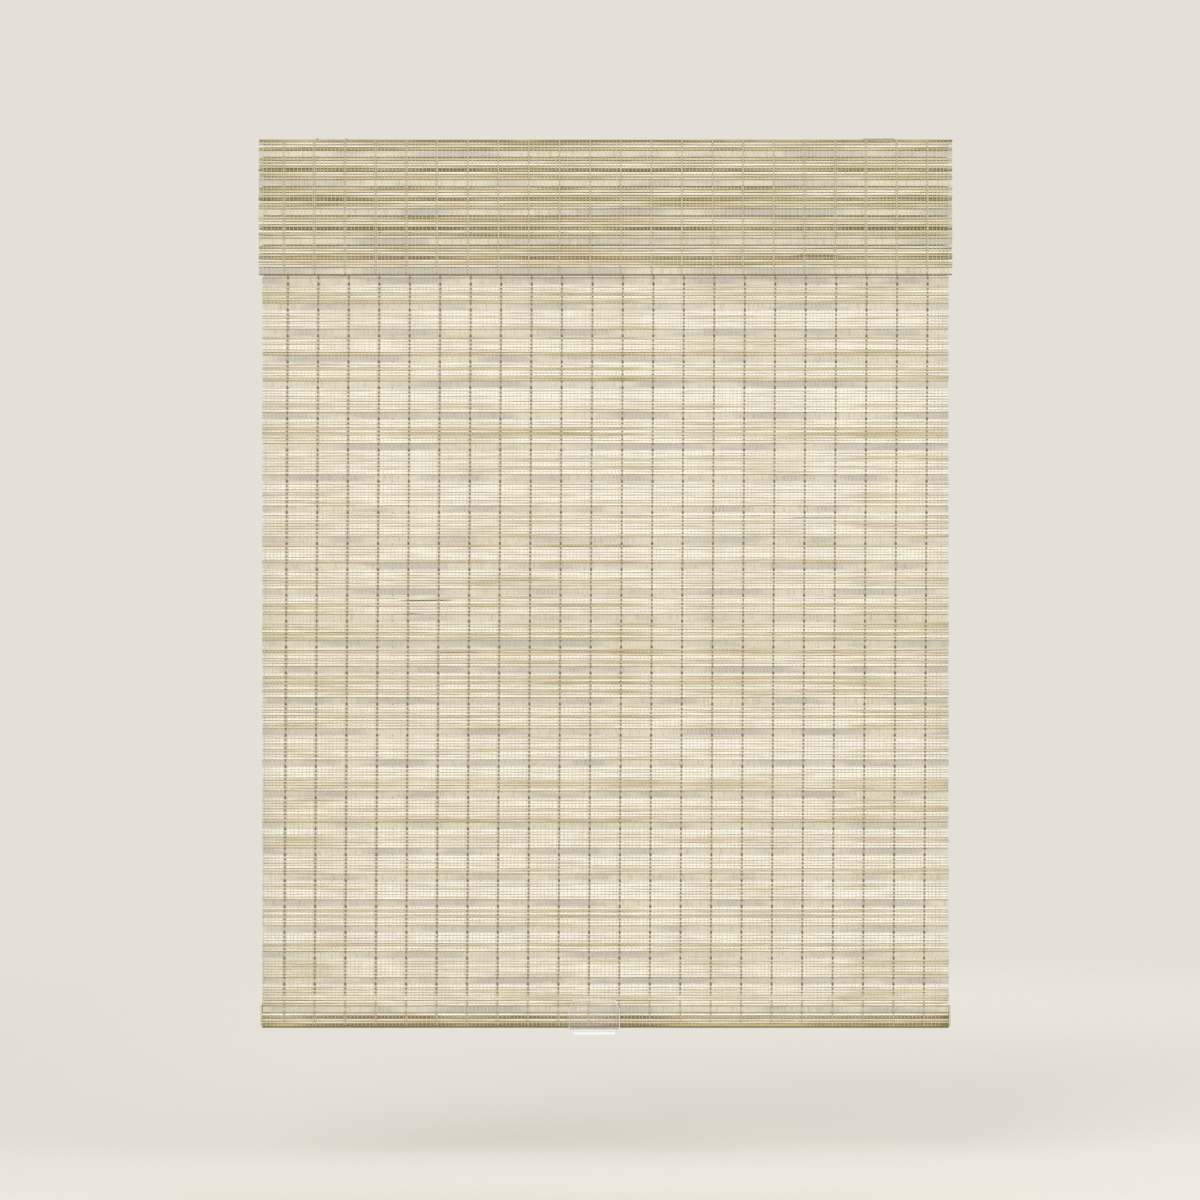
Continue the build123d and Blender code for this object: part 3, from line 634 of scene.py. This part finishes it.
def strand(stations, section):
    """A strand through stations of (point, way out, width), its section carried along it."""
    frames = [frame_at(Vector(point), Vector(outward), wide) for point, outward, wide in stations]
    bm = bmesh.new()
    ring = [bm.verts.new(frames[0] @ Vector((x, out, 0))) for x, out in section]
    edges = [bm.edges.new(pair) for pair in zip(ring, ring[1:] + ring[:1])]
    for here, there in zip(frames, frames[1:]):
        made = bmesh.ops.extrude_edge_only(bm, edges=edges)["geom"]
        edges = [g for g in made if isinstance(g, bmesh.types.BMEdge) and g.is_boundary]
        moved = [g for g in made if isinstance(g, bmesh.types.BMVert)]
        bmesh.ops.transform(bm, matrix=there @ here.inverted(), verts=moved)
    bmesh.ops.holes_fill(bm, edges=bm.edges[:], sides=len(section))
    return template(bm)


def face_depth(kind):
    """How far a row's front lies from the mat's own plane."""
    weave = settings()[0]
    return (weave.reed_depth if kind == "reed" else weave.slat_depth) / 2


def thread_stations(rows, middle, side, lean=0.0, seed=0.0):
    """Down one face of a mat: over each reed and along each slat, leaning left on the way."""
    top, tall = rows[0][1], rows[0][1] - rows[-1][1]
    reach = settings()[0].slat_height * THREAD_REACH
    stations = []
    for kind, z, _ in rows:
        for level in [z] if kind == "reed" else [z + reach, z - reach]:
            stray = THREAD_WANDER * waver(level, THREAD_PACE, seed, 0)
            x = stray - lean * (top - level) / tall
            stations.append(((x, middle + side * face_depth(kind), level), (0, side, 0), 1.0))
    return stations


def fold_stations(y, z, radius, count=4):
    """Round a fold, from the front to the back."""
    first, last = FOLD_ARC
    stations = []
    for n in range(count):
        angle = math.radians(first + (last - first) * n / (count - 1))
        out = Vector((0, -math.cos(angle), -math.sin(angle)))
        stations.append((Vector((0, y, z)) + out * radius, out, 1.0))
    return stations


def thread_section(width):
    """A thread's section: flat on the mat and crowned outside."""
    half = width / 2
    return ((-half, 0.0), (half, 0.0), (0.0, half * THREAD_CROWN))


def thread_strands(rows, middle, side, lean=0.0, seed_step=1.0, onward=()):
    """The kinds of fine warp down a face of a mat, and onward through more stations."""
    section = thread_section(settings()[0].thread_width)
    strands = []
    for n in range(THREAD_KINDS):
        route = thread_stations(rows, middle, side, lean, n * seed_step) + list(onward)
        strands.append((strand(route, section), None))
    return strands


def warp_strands(rows, middle, side, lean, light):
    """The two strands of a main warp, which cross every reed and a half.

    Their tone is painted light: from 0, painted shade where they lie side by side between reeds, to
    1, lit where they cross. It sinks no lower than light.
    """
    weave = settings()[0]
    top, tall = rows[0][1], rows[0][1] - rows[-1][1]
    half = weave.warp_width / 2
    reach = weave.slat_height * WARP_REACH
    section = thread_section(weave.warp_width)
    places = []
    angle = 0.0
    for kind, z, _ in rows:
        crest = face_depth(kind)
        if kind == "reed":
            places.append((z + weave.reed_pitch / 2, crest * WARP_SINK, angle))
            places.append((z, crest, angle + WARP_TURN / 2))
            angle += WARP_TURN
        else:
            angle = math.pi * math.ceil(angle / math.pi)
            places += [(z + (1 - n) * reach, crest, angle + n * math.pi / 2) for n in range(3)]
            angle += math.pi
    # The lower ends are tucked in between the reeds
    z, depth, angle = places[-1]
    places[-1] = (z, depth * WARP_TUCK, angle)
    pair = []
    for turn in (0.0, math.pi):
        stations, tones = [], []
        for z, depth, angle in places:
            x = half * math.cos(angle + turn) - lean * (top - z) / tall
            out = depth + half * WARP_RISE * (1 + math.sin(angle + turn))
            wide = WARP_NARROW + WARP_WIDEN * abs(math.cos(angle))
            stations.append(((x, middle + side * out, z), (0, side, 0), wide))
            # Painted light and shade: dark where the strands lie in the gap, light where they cross
            # a crest
            tones.append(max(light, 1 - math.cos(angle) ** 4))
        pair.append((strand(stations, section), tones))
    return pair


def spread(name, copies, body, finish):
    """A piece made of copies, each of them some strands and how far along X they lie."""
    bm = bmesh.new()
    tone_of = point_layer(bm, "tone")
    for strands, x in copies:
        for mesh, tones in strands:
            verts = add_copy(bm, mesh)
            bmesh.ops.translate(bm, vec=(x, 0, 0), verts=verts)
            if tones:
                around = len(verts) // len(tones)
                for n, v in enumerate(verts):
                    v[tone_of] = tones[n // around]
    return piece(name, bm, [bpy.data.materials[finish]], body, smooth=True)


def spread_threads(name, strands, places, body, rng):
    """Fine warps across a mat: any one kind at each place."""
    stray = THREAD_STRAY
    copies = [([rng.choice(strands)], x + rng.uniform(-stray, stray)) for x in places]
    return spread(name, copies, body, "fine_warp")


def spread_warps(name, rows, middle, side, places, body, lean=0.0, light=0.0):
    """Main warps across a mat: both strands at each place."""
    pair = warp_strands(rows, middle, side, lean, light)
    return spread(name, [(pair, x) for x in places], body, "main_warp")


def thread_places(width):
    """Where the fine warps cross a mat of this width."""
    weave = settings()[0]
    count = int(width / weave.thread_pitch) - 1
    return [(i - (count - 1) / 2) * weave.thread_pitch for i in range(count)]


def warp_places(pitch, shift=0.0):
    """Where the main warps cross a mat."""
    pairs = round(PANEL_HIGH.x / settings()[0].warp_pitch)
    return [(i - pairs + 0.5) * pitch + shift for i in range(2 * pairs)]


def panel_tone(number, rng):
    """Most of the panel's reeds are bleached or cream; the bleached ones are partly painted light
    from behind the mat.
    """
    return rng.choice(PANEL_TONES)


def valance_tone(number, rng):
    """The valance repeats a banded order of reeds below each slat."""
    order = VALANCE_TONES[number % len(VALANCE_TONES)]
    return min(1.0, max(0.0, order + rng.uniform(-VALANCE_TONE_SPREAD, VALANCE_TONE_SPREAD)))


def in_order(tones):
    """Tones taken in the reeds' own order."""
    return lambda number, rng: tones[number]


def squash_with_lift(made):
    """Give the piece a mesh of its own."""
    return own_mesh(made)


class SHADE_OT_panel(bpy.types.Operator):
    """Weave the hanging panel: reeds, slats and all its warps"""

    bl_idname = "shade.panel"
    bl_label = "Woven Panel"

    def execute(self, context):
        weave = settings()[0]
        rng = random.Random(PANEL_SEED)
        lean = weave.warp_drift
        middle = (PANEL_LOW.y + PANEL_HIGH.y) / 2
        width = PANEL_HIGH.x - PANEL_LOW.x
        finishes = [reed_finish("panel_reeds"), slat_finish("panel_slats")]
        rows = panel_rows()
        upper = [row for row in rows if row[1] > RAIL_LOW.z]
        lower = rows[len(upper):]
        bm = bmesh.new()
        lay_mat(bm, upper, width, middle, panel_tone, rng)
        head = piece("mat_at_headrail", bm, finishes, "headrail")
        bm = bmesh.new()
        lay_mat(bm, lower, width, middle, panel_tone, rng, PANEL_MARKS)
        mat = piece("mat_hanging", bm, finishes, "headrail")
        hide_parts("woven_panel")
        dressed = [mat]
        thread_finish("fine_warp")
        for face, side, step in (("front", -1, 1), ("back", 1, BACK_THREAD_STEP)):
            strands = thread_strands(lower, middle, side, lean, 9.7)
            places = thread_places(width)[::step]
            half = len(places) // 2
            for part, share in (("left", places[:half]), ("right", places[half:])):
                name = f"fine_warps_{face}_{part}"
                dressed.append(spread_threads(name, strands, share, "headrail", rng))
        warp_finish("main_warp")
        places = warp_places(weave.warp_pitch, weave.warp_shift)
        for face, side in (("front", -1), ("back", 1)):
            name = f"main_warps_{face}"
            dressed.append(spread_warps(name, lower[:-1], middle, side, places, "headrail", lean))
        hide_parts("warp_threads")
        name = "main_warps_at_headrail"
        dressed.append(spread_warps(name, upper, middle, -1, places, "headrail"))
        for made in dressed[:-1]:
            squash_with_lift(made)
        return {"FINISHED"}


class SHADE_OT_valance(bpy.types.Operator):
    """Weave the valance, folded back at its lower edge"""

    bl_idname = "shade.valance"
    bl_label = "Valance"

    def execute(self, context):
        weave = settings()[0]
        rng = random.Random(VALANCE_SEED)
        width = VALANCE_HIGH.x - VALANCE_LOW.x
        front, back = folded_planes(VALANCE_LOW, VALANCE_HIGH)
        finishes = [reed_finish("valance_reeds"), slat_finish("valance_slats")]
        pitch = weave.valance_reed_pitch
        top_rows = laid_rows(["reed"] * VALANCE_TOP_REEDS, VALANCE_HIGH.z, pitch)
        body_top = VALANCE_HIGH.z - VALANCE_TOP_REEDS * pitch
        body_kinds = bay(VALANCE_BAY_REEDS) * VALANCE_BAY_COUNT + ["slat"]
        body_rows = laid_rows(body_kinds, body_top, pitch)
        bm = bmesh.new()
        lay_mat(bm, top_rows, width, front, in_order(VALANCE_TOP_TONES), rng)
        lay_mat(bm, body_rows, width, front, valance_tone, rng, VALANCE_MARKS)
        fold = body_rows[-1][1] - weave.slat_height / 2
        bend_y, bend_z = (front + back) / 2, VALANCE_LOW.z + pitch / 2
        lay_mat(bm, [("reed", bend_z, 0)], width, bend_y, in_order(FOLD_TONES), rng)
        flap_top = fold + FLAP_REEDS * pitch + weave.slat_height
        flap_rows = laid_rows(["reed"] * FLAP_REEDS + ["slat"], flap_top, pitch)
        lay_mat(bm, flap_rows, width, back, valance_tone, rng)
        mat = piece("valance_mat", bm, finishes, "headrail")
        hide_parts("valance")
        rows = top_rows + body_rows
        bend = fold_stations(bend_y, bend_z, weave.reed_depth / 2)
        up = thread_stations(flap_rows, back, 1)[::-1]
        strands = thread_strands(rows, front, -1, seed_step=5.3, onward=bend + up)
        places = thread_places(width)
        threads = spread_threads("valance_fine_warps", strands, places, "headrail", rng)
        name, light = "valance_main_warps", VALANCE_WARP_LIGHT
        places = warp_places(weave.valance_warp_pitch)
        warps = spread_warps(name, rows, front, -1, places, "headrail", light=light)
        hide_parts("valance_threads")
        return {"FINISHED"}


class SHADE_OT_hem(bpy.types.Operator):
    """Weave the folded hem round the weight bar"""

    bl_idname = "shade.hem"
    bl_label = "Bottom Hem"

    def execute(self, context):
        weave = settings()[0]
        rng = random.Random(HEM_SEED)
        width = HEM_HIGH.x - HEM_LOW.x
        pitch = weave.reed_pitch
        front, back = folded_planes(HEM_LOW, HEM_HIGH)
        top_rows = laid_rows(["reed"] * HEM_TOP_REEDS, HEM_HIGH.z, pitch)
        low_rows = laid_rows(bay(HEM_LOW_REEDS), HEM_HIGH.z - HEM_TOP_REEDS * pitch, pitch)
        bm = bmesh.new()
        for plane in (front, back):
            lay_mat(bm, top_rows, width, plane, in_order(HEM_TOP_TONES), rng)
            lay_mat(bm, low_rows, width, plane, in_order(HEM_LOW_TONES), rng)
        middle = (front + back) / 2
        bend_z = HEM_LOW.z + pitch / 2
        inner = (back - front) / 4
        for y in (-inner, inner):
            lay_mat(bm, [("reed", bend_z, 0)], width, middle + y, in_order(FOLD_TONES), rng)
        finishes = [reed_finish("hem_reeds"), slat_finish("hem_slats")]
        mat = piece("hem_mat", bm, finishes, "bottom_rail")
        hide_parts("bottom_hem")
        rows = top_rows + low_rows
        turn = inner + weave.reed_depth / 2
        bend = fold_stations(middle, HEM_LOW.z + turn, turn, count=5)
        up = thread_stations(rows, back, 1)[::-1]
        strands = thread_strands(rows, front, -1, seed_step=3.1, onward=bend + up)
        places = [x - weave.warp_drift for x in thread_places(width)[1:]]
        threads = spread_threads("hem_fine_warps", strands, places, "bottom_rail", rng)
        name, light = "hem_main_warps", HEM_WARP_LIGHT
        places = warp_places(weave.warp_pitch, weave.warp_shift - weave.warp_drift)
        warps = spread_warps(name, rows, front, -1, places, "bottom_rail", light=light)
        return {"FINISHED"}


def frame_body(node):
    """The body that carries a CAD node."""
    bodies = frame["record"]["behaviour"]["bodies"]
    return next(body for body, nodes in bodies.items() if node in nodes)


def dress(node, material):
    """Give a CAD node a better material."""
    for held in frame["nodes"][node].material_slots:
        held.material = material


def softened(node, name, materials, edge, angle=35):
    """A copy of a CAD node with its sharp edges eased, which stands for the node.

    The eased edges get the last material.
    """
    bm = bmesh.new()
    bm.from_mesh(frame["nodes"][node].data)
    bmesh.ops.remove_doubles(bm, verts=bm.verts[:], dist=1e-6)
    flat = math.radians(1)
    bmesh.ops.dissolve_limit(bm, angle_limit=flat, verts=bm.verts[:], edges=bm.edges[:])
    closed = [e for e in bm.edges if len(e.link_faces) == 2]
    sharp = [e for e in closed if e.calc_face_angle(0) > math.radians(angle)]
    eased = bmesh.ops.bevel(
        bm, geom=sharp, offset=edge, segments=2, profile=0.5, affect="EDGES", material=-1,
        clamp_overlap=True,
    )
    for face in eased["faces"]:
        face.material_index = len(materials) - 1
    made = piece(name, bm, materials, frame_body(node))
    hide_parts(node)
    return made


def spin_round(bm, geom, centre, axis, steps):
    """Spin points and edges all the way round an axis."""
    bmesh.ops.spin(
        bm, geom=geom, cent=centre, axis=axis, angle=math.tau, steps=steps, use_merge=True
    )


def turned(profile, y, z, steps=40):
    """A shape turned round an axis along X, from points of (x, radius)."""
    bm = bmesh.new()
    verts = [bm.verts.new((x, y, z + radius)) for x, radius in profile]
    edges = [bm.edges.new(pair) for pair in zip(verts, verts[1:])]
    spin_round(bm, verts + edges, (0, y, z), (1, 0, 0), steps)
    bmesh.ops.remove_doubles(bm, verts=bm.verts[:], dist=1e-7)
    bmesh.ops.recalc_face_normals(bm, faces=bm.faces[:])
    return bm


def hoop(bm, centre, out, radius, sides, axis, steps):
    """A round bar bent into a ring: a circle out from the centre, spun round an axis."""
    place = Matrix.Translation(centre + Vector(out)) @ Matrix.Rotation(math.pi / 2, 4, "X")
    loop = bmesh.ops.create_circle(bm, segments=sides, radius=radius, matrix=place)["verts"]
    edges = list(dict.fromkeys(e for v in loop for e in v.link_edges))
    spin_round(bm, loop + edges, centre, axis, steps)
    bmesh.ops.recalc_face_normals(bm, faces=bm.faces[:])


class SHADE_OT_handle(bpy.types.Operator):
    """Clear pull handle clipped round the hem"""

    bl_idname = "shade.handle"
    bl_label = "Pull Handle"

    def execute(self, context):
        finishes = [clear_finish("clear_handle", 0.06), clear_finish("clear_handle_edge", 0.9)]
        made = softened("handle", "pull_handle", finishes, HANDLE_EDGE, angle=25)
        # Painted highlight: the eased edges and the grip below the hem get the near-opaque white
        # finish
        for face in made.data.polygons:
            if face.center.z < HEM_LOW.z - GRIP_DROP:
                face.material_index = 1
        return {"FINISHED"}


class SHADE_OT_rings(bpy.types.Operator):
    """Rings, cords and anchors on the mat's back"""

    bl_idname = "shade.rings"
    bl_label = "Rings and Cords"

    def execute(self, context):
        clear = moulded_finish("ring_plastic", paint(236, 234, 226), roughness=0.3)
        for name in RING_ROWS:
            self.ring_row(name, clear)
        hardware = settings()[1]
        braid = tape_finish("braided_cord", hardware.cord)
        for side in SIDES:
            self.cord(side, braid)
            anchor = moulded_finish("anchor_" + side, hardware.moulded)
            name = "anchor_clip_" + side
            softened("cord_anchor_" + side, name, [anchor], edge=0.0004)
        return {"FINISHED"}

    def ring_row(self, name, finish):
        """One row: a ring at each side."""
        low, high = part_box(name)
        reach = (high.y - low.y) / 2
        wall = (high.z - low.z) / 2
        bm = bmesh.new()
        for x in (low.x + reach, high.x - reach):
            centre = Vector((x, low.y + reach, (low.z + high.z) / 2))
            hoop(bm, centre, (reach - wall, 0, 0), wall * RING_SLIM, 10, (0, 0, 1), 28)
        rings = name.replace("ring_row", "rings")
        made = piece(rings, bm, [finish], name, smooth=True)
        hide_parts(name)

    def cord(self, side, finish):
        """A taut lift cord, from its spool to the hem."""
        low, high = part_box("lift_cord_" + side)
        radius = (high.x - low.x) / 2
        x, y = (low.x + high.x) / 2, (low.y + high.y) / 2
        angles = [n * math.pi / 4 for n in range(8)]
        section = [(radius * math.cos(angle), radius * math.sin(angle)) for angle in angles]
        stations = [((x, y, z), (0, -1, 0), 1.0) for z in (high.z, RAIL_LOW.z, low.z)]
        bm = bmesh.new()
        bm.from_mesh(strand(stations, section))
        made = piece("cord_" + side, bm, [finish], "headrail", smooth=True)
        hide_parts("lift_cord_" + side)
        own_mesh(made)


class SHADE_OT_headrail(bpy.types.Operator):
    """Headrail, caps, brackets, spools and the spring motor"""

    bl_idname = "shade.headrail"
    bl_label = "Headrail"

    def execute(self, context):
        hardware = settings()[1]
        edge = hardware.edge_round
        rail = painted_finish("rail_paint", hardware.rail)
        moulded = moulded_finish("moulded_white", hardware.moulded)
        drum = moulded_finish("moulded_grey", hardware.drum, roughness=0.4)
        zinc = metal_finish("zinc_plate", hardware.zinc, 60)
        bar = metal_finish("aluminium_bar", hardware.aluminium, 20, 900, 900)
        tape = tape_finish("fastening_tape", hardware.tape)
        softened("headrail", "rail_channel", [rail], edge)
        for side in SIDES:
            for node, name, finish, slot, rounding in (
                ("end_cap_", "cap_", moulded, "moulded_white", edge * 2),
                ("mount_bracket_", "bracket_", zinc, "bracket_steel", edge),
                ("bracket_lever_", "lever_", zinc, "bracket_steel", edge),
                ("cord_cradle_", "cradle_", moulded, "moulded_white", edge),
            ):
                softened(node + side, name + side, [finish], rounding)
            dress("bracket_rivet_" + side, zinc)
            dress("bar_plug_" + side, moulded_finish("plug_" + side, paint(206, 194, 166)))
            self.spool(side, drum)
        softened("motor_housing", "motor_case", [moulded], edge)
        softened("motor_cover", "motor_lid", [moulded], edge)
        self.lid_screws(zinc)
        for node, finish in (
            ("drive_drum", drum), ("storage_drum", drum), ("motor_spring", zinc),
            ("lift_shaft", bar), ("weight_bar", bar), ("rail_tape", tape), ("valance_tape", tape),
        ):
            dress(node, finish)
        dress("valance_batten", slat_finish("batten_wood"))
        return {"FINISHED"}

    def spool(self, side, finish):
        """A winding spool as large as the CAD node's box, with the cord's last turns on it."""
        low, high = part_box("cord_spool_" + side)
        middle = (low.x + high.x) / 2
        y, z = (low.y + high.y) / 2, (low.z + high.z) / 2
        half, flange = (high.x - low.x) / 2, (high.z - low.z) / 2
        inside = SPOOL_WALL - SPOOL_RIM
        end = [
            (half, SPOOL_BORE), (half, SPOOL_JOURNAL), (SPOOL_WALL, SPOOL_JOURNAL),
            (SPOOL_WALL, flange), (inside, flange), (inside, SPOOL_DRUM),
        ]
        profile = [(-x, radius) for x, radius in end] + end[::-1] + [(-half, SPOOL_BORE)]
        bm = turned([(middle + x, radius) for x, radius in profile], y, z)
        made = piece("spool_" + side, bm, [finish], "lift_shaft")
        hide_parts("cord_spool_" + side)
        cord = (CORD_HIGH.x - CORD_LOW.x) / 2
        bm = bmesh.new()
        for n in range(SPOOL_TURNS):
            centre = Vector((middle + (n + 1) * 2 * cord, y, z))
            hoop(bm, centre, (0, 0, SPOOL_DRUM + cord), cord, 8, (1, 0, 0), 32)
        braid = bpy.data.materials["braided_cord"]
        piece("cord_turns_" + side, bm, [braid], "lift_shaft", smooth=True)

    def lid_screws(self, finish):
        """Two pan heads that hold the motor's lid."""
        low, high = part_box("motor_cover")
        profile = [(high.x + out, radius) for out, radius in SCREW_HEAD]
        for n, y in enumerate((low.y + SCREW_INSET, high.y - SCREW_INSET)):
            bm = turned(profile, y, low.z + SCREW_INSET, steps=20)
            piece(f"lid_screw_{n + 1}", bm, [finish], "headrail", smooth=True)


def area_lamp(name, place, target, size, power):
    """A large soft lamp that faces a point."""
    lamp = bpy.data.lights.new(name, "AREA")
    lamp.shape = "RECTANGLE"
    lamp.size, lamp.size_y = size
    lamp.energy = power
    made = put(name, lamp)
    made.location = place
    facing = Vector(target) - Vector(place)
    made.rotation_euler = facing.to_track_quat("-Z", "Y").to_euler()


class SHADE_OT_stage(bpy.types.Operator):
    """Pale floor, soft light and the camera"""

    bl_idname = "shade.stage"
    bl_label = "Stage"

    def execute(self, context):
        stage = settings()[2]
        self.floor(stage)
        self.world(stage)
        middle = Vector((0, 0, (PANEL_LOW.z + PANEL_HIGH.z) / 2))
        for name, place, size, power in LAMPS:
            area_lamp(name, place, middle, size, getattr(stage, power))
        self.camera(stage)
        bpy.context.scene.view_settings.view_transform = "Standard"
        return {"FINISHED"}

    def floor(self, stage):
        """A round floor that fades into the backdrop."""
        bm = bmesh.new()
        place = Matrix.Translation((0, 0, HEM_LOW.z - FLOOR_DROP))
        bmesh.ops.create_circle(bm, cap_ends=True, segments=96, radius=FLOOR_RADIUS, matrix=place)
        mesh = mesh_from(bm, "floor")
        recipe = Recipe("floor_paper", roughness=0.9)
        recipe.colour(stage.floor)
        inputs = (("Vector", recipe.place(1 / FLOOR_FADE, 1 / FLOOR_FADE, 0)),)
        ball = recipe.node("ShaderNodeTexGradient", inputs, gradient_type="SPHERICAL")
        recipe.join(recipe.between(ball, 0.0, 0.55), recipe.shader.inputs["Alpha"])
        mesh.materials.append(recipe.material)
        floor = put("floor", mesh)

    def world(self, stage):
        """Even light all round, and the backdrop's colour for the camera, metal and glass."""
        world = bpy.data.worlds.new("studio")
        world.use_nodes = True
        world.node_tree.nodes.clear()
        wiring = Wiring(world.node_tree)
        path = wiring.tree.nodes.new("ShaderNodeLightPath")
        seen = path.outputs["Is Camera Ray"]
        for ray in ("Is Glossy Ray", "Is Transmission Ray"):
            seen = wiring.math("ADD", seen, path.outputs[ray], clamp=True)
        lit = (("Color", (1.0, 0.99, 0.97, 1)), ("Strength", stage.ambient))
        light = wiring.node("ShaderNodeBackground", lit)
        plain = (("Color", (*stage.backdrop, 1)), ("Strength", 1.0))
        shown = wiring.node("ShaderNodeBackground", plain)
        mixed = wiring.node("ShaderNodeMixShader", ((0, seen), (1, light), (2, shown)))
        out = wiring.tree.nodes.new("ShaderNodeOutputWorld")
        wiring.join(mixed, out.inputs["Surface"])
        bpy.context.scene.world = world

    def camera(self, stage):
        """Straight on, as the picture was taken."""
        lens = bpy.data.cameras.new("camera")
        lens.sensor_width = 36.0
        half_frame = HALF_PICTURE_PX * stage.pixel
        lens.lens = lens.sensor_width / 2 * stage.camera_distance / half_frame
        lens.clip_end = 60.0
        made = put("camera", lens)
        x = -SHADE_MIDDLE_PX * stage.pixel
        height = VALANCE_HIGH.z - (HALF_PICTURE_PX - SHADE_TOP_PX) * stage.pixel
        made.location = (x, PANEL_LOW.y - stage.camera_distance, height)
        made.rotation_euler = (math.pi / 2, 0, 0)
        bpy.context.scene.camera = made


class SHADE_PT_panel(bpy.types.Panel):
    """Lists the shade's parts in the sidebar"""

    bl_label = "Woven Shade"
    bl_idname = "SHADE_PT_panel"
    bl_space_type = "VIEW_3D"
    bl_region_type = "UI"
    bl_category = "Woven Shade"

    def draw(self, context):
        for operator in OPERATORS:
            self.layout.operator(operator.bl_idname)


OPERATORS = (
    SHADE_OT_panel, SHADE_OT_valance, SHADE_OT_hem, SHADE_OT_handle, SHADE_OT_rings,
    SHADE_OT_headrail, SHADE_OT_stage,
)
GROUPS = {
    "shade_weave": WeaveSettings, "shade_hardware": HardwareSettings, "shade_stage": StageSettings,
}
CLASSES = (*GROUPS.values(), *OPERATORS, SHADE_PT_panel)


def register():
    for item in CLASSES:
        bpy.utils.register_class(item)
    for name, group in GROUPS.items():
        setattr(bpy.types.Scene, name, bpy.props.PointerProperty(type=group))


def unregister():
    for name in GROUPS:
        delattr(bpy.types.Scene, name)
    for item in reversed(CLASSES):
        bpy.utils.unregister_class(item)


def main():
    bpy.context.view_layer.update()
    register()
    bpy.ops.shade.panel()
    bpy.ops.shade.valance()
    bpy.ops.shade.hem()
    bpy.ops.shade.handle()
    bpy.ops.shade.rings()
    bpy.ops.shade.headrail()
    bpy.ops.shade.stage()


if __name__ == "__main__":
    main()
